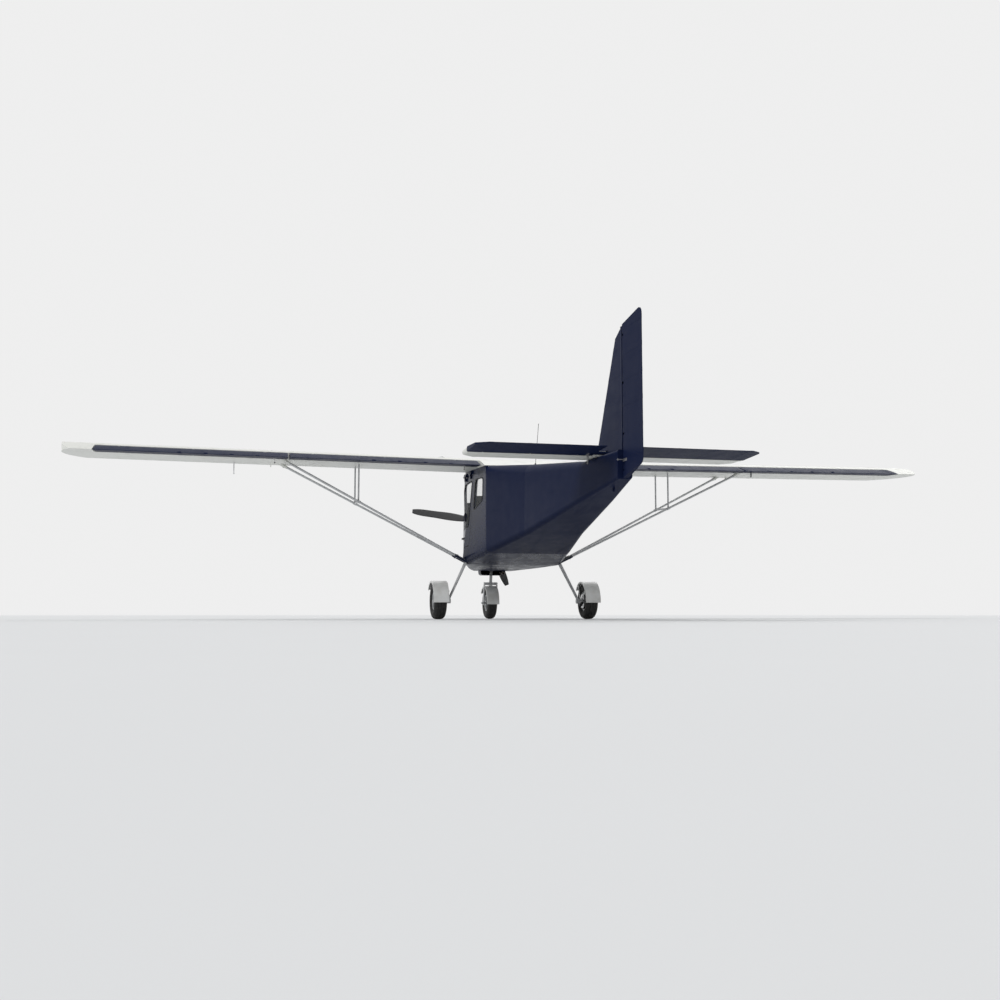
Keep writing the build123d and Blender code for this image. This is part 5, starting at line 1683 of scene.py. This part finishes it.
class MICROLIGHT_OT_cushions(bpy.types.Operator):
    """Sew and stuff the seat and back cushions."""

    bl_idname = "microlight.cushions"
    bl_label = "Cushions"

    def execute(self, context):
        for name, length, foot, lean in CUSHIONS:
            master = cushion_form(length)
            cord = piping(length)
            turn = Matrix.Rotation(radians(lean), 4, "Y")
            for side_name, side in SIDES:
                place = Matrix.Translation((foot[0], side * foot[1], foot[2]))
                pad, edge = copied(master, place @ turn), copied(cord, place @ turn)
                complete(pad, f"{name}_pad_{side_name}", seat_cloth, "seat_fabric")
                complete(edge, f"{name}_piping_{side_name}", plain_rubber, "seat_fabric")
                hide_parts(f"{name}_cushion_{side_name}")
            bpy.data.objects.remove(master)
            bpy.data.objects.remove(cord)
        return {"FINISHED"}


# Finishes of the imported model's pieces

NODE_FINISHES = {
    white_cover: ("wing_left", "wing_right", "wing_tips", "roof", "stabiliser"),
    navy_cover: (
        "flap_left", "flap_right", "aileron_left", "aileron_right", "elevator", "rudder", "fin",
        "tail_cone",
    ),
    navy_panel: (
        "floor_pan", "cabin_side_left", "cabin_side_right", "door_left", "door_right", "cowl_upper",
        "cowl_lower", "firewall", "rear_bulkhead",
    ),
    white_panel: ("main_mudguards", "nose_mudguard", "spinner"),
    clear_glass: ("windscreen", "rear_windows", "door_glass_left", "door_glass_right"),
    strut_paint: ("front_struts", "rear_struts", "jury_struts"),
    gear_paint: ("main_legs", "nose_fork", "nose_bearing"),
    dark_casting: ("engine_block",),
    burnt_steel: ("exhaust",),
    cast_alloy: ("rim_left", "rim_right", "rim_nose"),
    blade_finish: ("propeller",),
    dark_moulding: ("instrument_panel", "control_stick", "seat_frame"),
    tyre_rubber: ("tyre_left", "tyre_right", "tyre_nose"),
    seat_cloth: (
        "seat_cushion_left", "seat_cushion_right", "back_cushion_left", "back_cushion_right"
    ),
}


class MICROLIGHT_OT_node_finishes(bpy.types.Operator):
    """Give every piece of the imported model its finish."""

    bl_idname = "microlight.node_finishes"
    bl_label = "Finishes"

    def execute(self, context):
        for make_finish, nodes in NODE_FINISHES.items():
            for node in nodes:
                data = frame["nodes"][node].data
                data.materials.clear()
                data.materials.append(finish_of(make_finish))
        return {"FINISHED"}


# Stage

CAMERA_AZIMUTH = radians(-103)
AIM_SIDEWAYS = -0.39
AIM_HEIGHT = 1.22
SENSOR_WIDTH = 36
FLOOR_RADIUS = 400
FADE_START = 14
FADE_END = 60
WHITE = (1, 1, 1, 1)
BACKDROP_STRENGTH = 0.86
FILL_STRENGTH = 0.58


def floor_material():
    """Pale floor that takes the shadow near the aircraft and meets the backdrop far away."""
    finish = Finish("pale floor", specular_ior_level=0.1)
    x, y, _ = finish.parts(finish.place())
    away = finish.maths("SQRT", x * x + y * y)
    colour = stage().floor
    tone = finish.mix(finish.noise(2, 4), shade(colour, 0.985), shade(colour, 1.0))
    finish.feed(base_color=tone, roughness=0.8)
    glow = finish.node("ShaderNodeEmission", sockets={0: WHITE, 1: BACKDROP_STRENGTH})
    seen = finish.node("ShaderNodeLightPath", output="Is Camera Ray")
    fade = finish.span(away, FADE_START, FADE_END) * seen
    sockets = {0: fade, 1: finish.lit, 2: glow}
    finish.show(finish.node("ShaderNodeMixShader", sockets=sockets))
    return finish.material


def make_world():
    """Even pale surround, with the backdrop's own brightness for the camera and mirrors."""
    world = bpy.data.worlds.new("studio")
    bpy.context.scene.world = world
    world.use_nodes = True
    network = Network(world.node_tree, "ShaderNodeOutputWorld")
    seen = network.node("ShaderNodeLightPath", output="Is Camera Ray")
    for kind in ("Is Glossy Ray", "Is Transmission Ray"):
        ray = network.node("ShaderNodeLightPath", output=kind)
        seen = network.maths("MAXIMUM", seen, ray)
    fill, backdrop = (
        network.node("ShaderNodeBackground", sockets={"Color": WHITE, "Strength": strength})
        for strength in (FILL_STRENGTH, BACKDROP_STRENGTH)
    )
    sockets = {0: seen, 1: fill, 2: backdrop}
    network.show(network.node("ShaderNodeMixShader", sockets=sockets))


# Lamps. Columns: name, direction that the light comes from, strength, softness in degrees
LAMPS = (
    ("key", (-0.35, 0.75, 0.9), 1.3, 35),
    ("rim", (0.7, -0.5, 0.8), 0.6, 50),
)


class MICROLIGHT_OT_stage(bpy.types.Operator):
    """Set up the floor, the lamps and the camera."""

    bl_idname = "microlight.stage"
    bl_label = "Stage"

    def execute(self, context):
        settings = stage()
        own = set(frame["nodes"].values()) | set(frame["bodies"].values())
        for extra in [item for item in context.scene.objects if item not in own]:
            bpy.data.objects.remove(extra)
        bpy.ops.mesh.primitive_circle_add(vertices=64, radius=FLOOR_RADIUS, fill_type="NGON")
        floor = bpy.context.object
        floor.name = "floor"
        floor.data.materials.append(floor_material())
        make_world()
        for name, source, strength, softness in LAMPS:
            bpy.ops.object.light_add(type="SUN", location=Vector(source) * 10)
            lamp = bpy.context.object
            lamp.name = name
            lamp.rotation_euler = Vector(source).to_track_quat("Z", "Y").to_euler()
            lamp.data.energy = strength
            lamp.data.angle = radians(softness)
        back = Vector((sin(CAMERA_AZIMUTH), -cos(CAMERA_AZIMUTH), 0))
        aim = Vector((-back.y, back.x, 0)) * AIM_SIDEWAYS + Z_AXIS * AIM_HEIGHT
        place = aim + back * settings.distance
        place.z = settings.camera_height
        bpy.ops.object.camera_add(location=place)
        camera = bpy.context.object
        camera.rotation_euler = (aim - place).to_track_quat("-Z", "Y").to_euler()
        camera.data.sensor_width = SENSOR_WIDTH
        camera.data.lens = SENSOR_WIDTH * settings.distance / settings.frame_width
        camera.data.clip_end = 2 * FLOOR_RADIUS
        context.scene.camera = camera
        context.scene.view_settings.view_transform = "Standard"
        return {"FINISHED"}


class MICROLIGHT_PT_sidebar(bpy.types.Panel):
    """Settings and pieces of the microlight."""

    bl_idname = "MICROLIGHT_PT_sidebar"
    bl_label = "Microlight"
    bl_space_type = "VIEW_3D"
    bl_region_type = "UI"
    bl_category = "Microlight"

    def draw(self, context):
        for name in SETTINGS:
            group = getattr(context.scene, name)
            box = self.layout.box()
            for setting in group.__annotations__:
                box.prop(group, setting)
        for operator in OPERATORS:
            self.layout.operator(operator.bl_idname)


SETTINGS = {
    "microlight_covering": CoveringSettings,
    "microlight_gear": GearSettings,
    "microlight_cabin": CabinSettings,
    "microlight_stage": StageSettings,
}
OPERATORS = (
    MICROLIGHT_OT_stage,
    MICROLIGHT_OT_node_finishes,
    MICROLIGHT_OT_rib_tapes,
    MICROLIGHT_OT_tyres,
    MICROLIGHT_OT_wheel_fittings,
    MICROLIGHT_OT_fasteners,
    MICROLIGHT_OT_seals,
    MICROLIGHT_OT_door_fittings,
    MICROLIGHT_OT_wing_fittings,
    MICROLIGHT_OT_surface_fittings,
    MICROLIGHT_OT_nose_fittings,
    MICROLIGHT_OT_instruments,
    MICROLIGHT_OT_controls,
    MICROLIGHT_OT_cushions,
)
CLASSES = (*SETTINGS.values(), *OPERATORS, MICROLIGHT_PT_sidebar)


def register():
    for item in CLASSES:
        bpy.utils.register_class(item)
    for name, group in SETTINGS.items():
        setattr(bpy.types.Scene, name, bpy.props.PointerProperty(type=group))


def unregister():
    for name in SETTINGS:
        delattr(bpy.types.Scene, name)
    for item in reversed(CLASSES):
        bpy.utils.unregister_class(item)


def main():
    register()
    bpy.ops.microlight.stage()
    bpy.ops.microlight.node_finishes()
    bpy.ops.microlight.rib_tapes()
    bpy.ops.microlight.tyres()
    bpy.ops.microlight.wheel_fittings()
    bpy.ops.microlight.fasteners()
    bpy.ops.microlight.seals()
    bpy.ops.microlight.door_fittings()
    bpy.ops.microlight.wing_fittings()
    bpy.ops.microlight.surface_fittings()
    bpy.ops.microlight.nose_fittings()
    bpy.ops.microlight.instruments()
    bpy.ops.microlight.controls()
    bpy.ops.microlight.cushions()


if __name__ == "__main__":
    main()
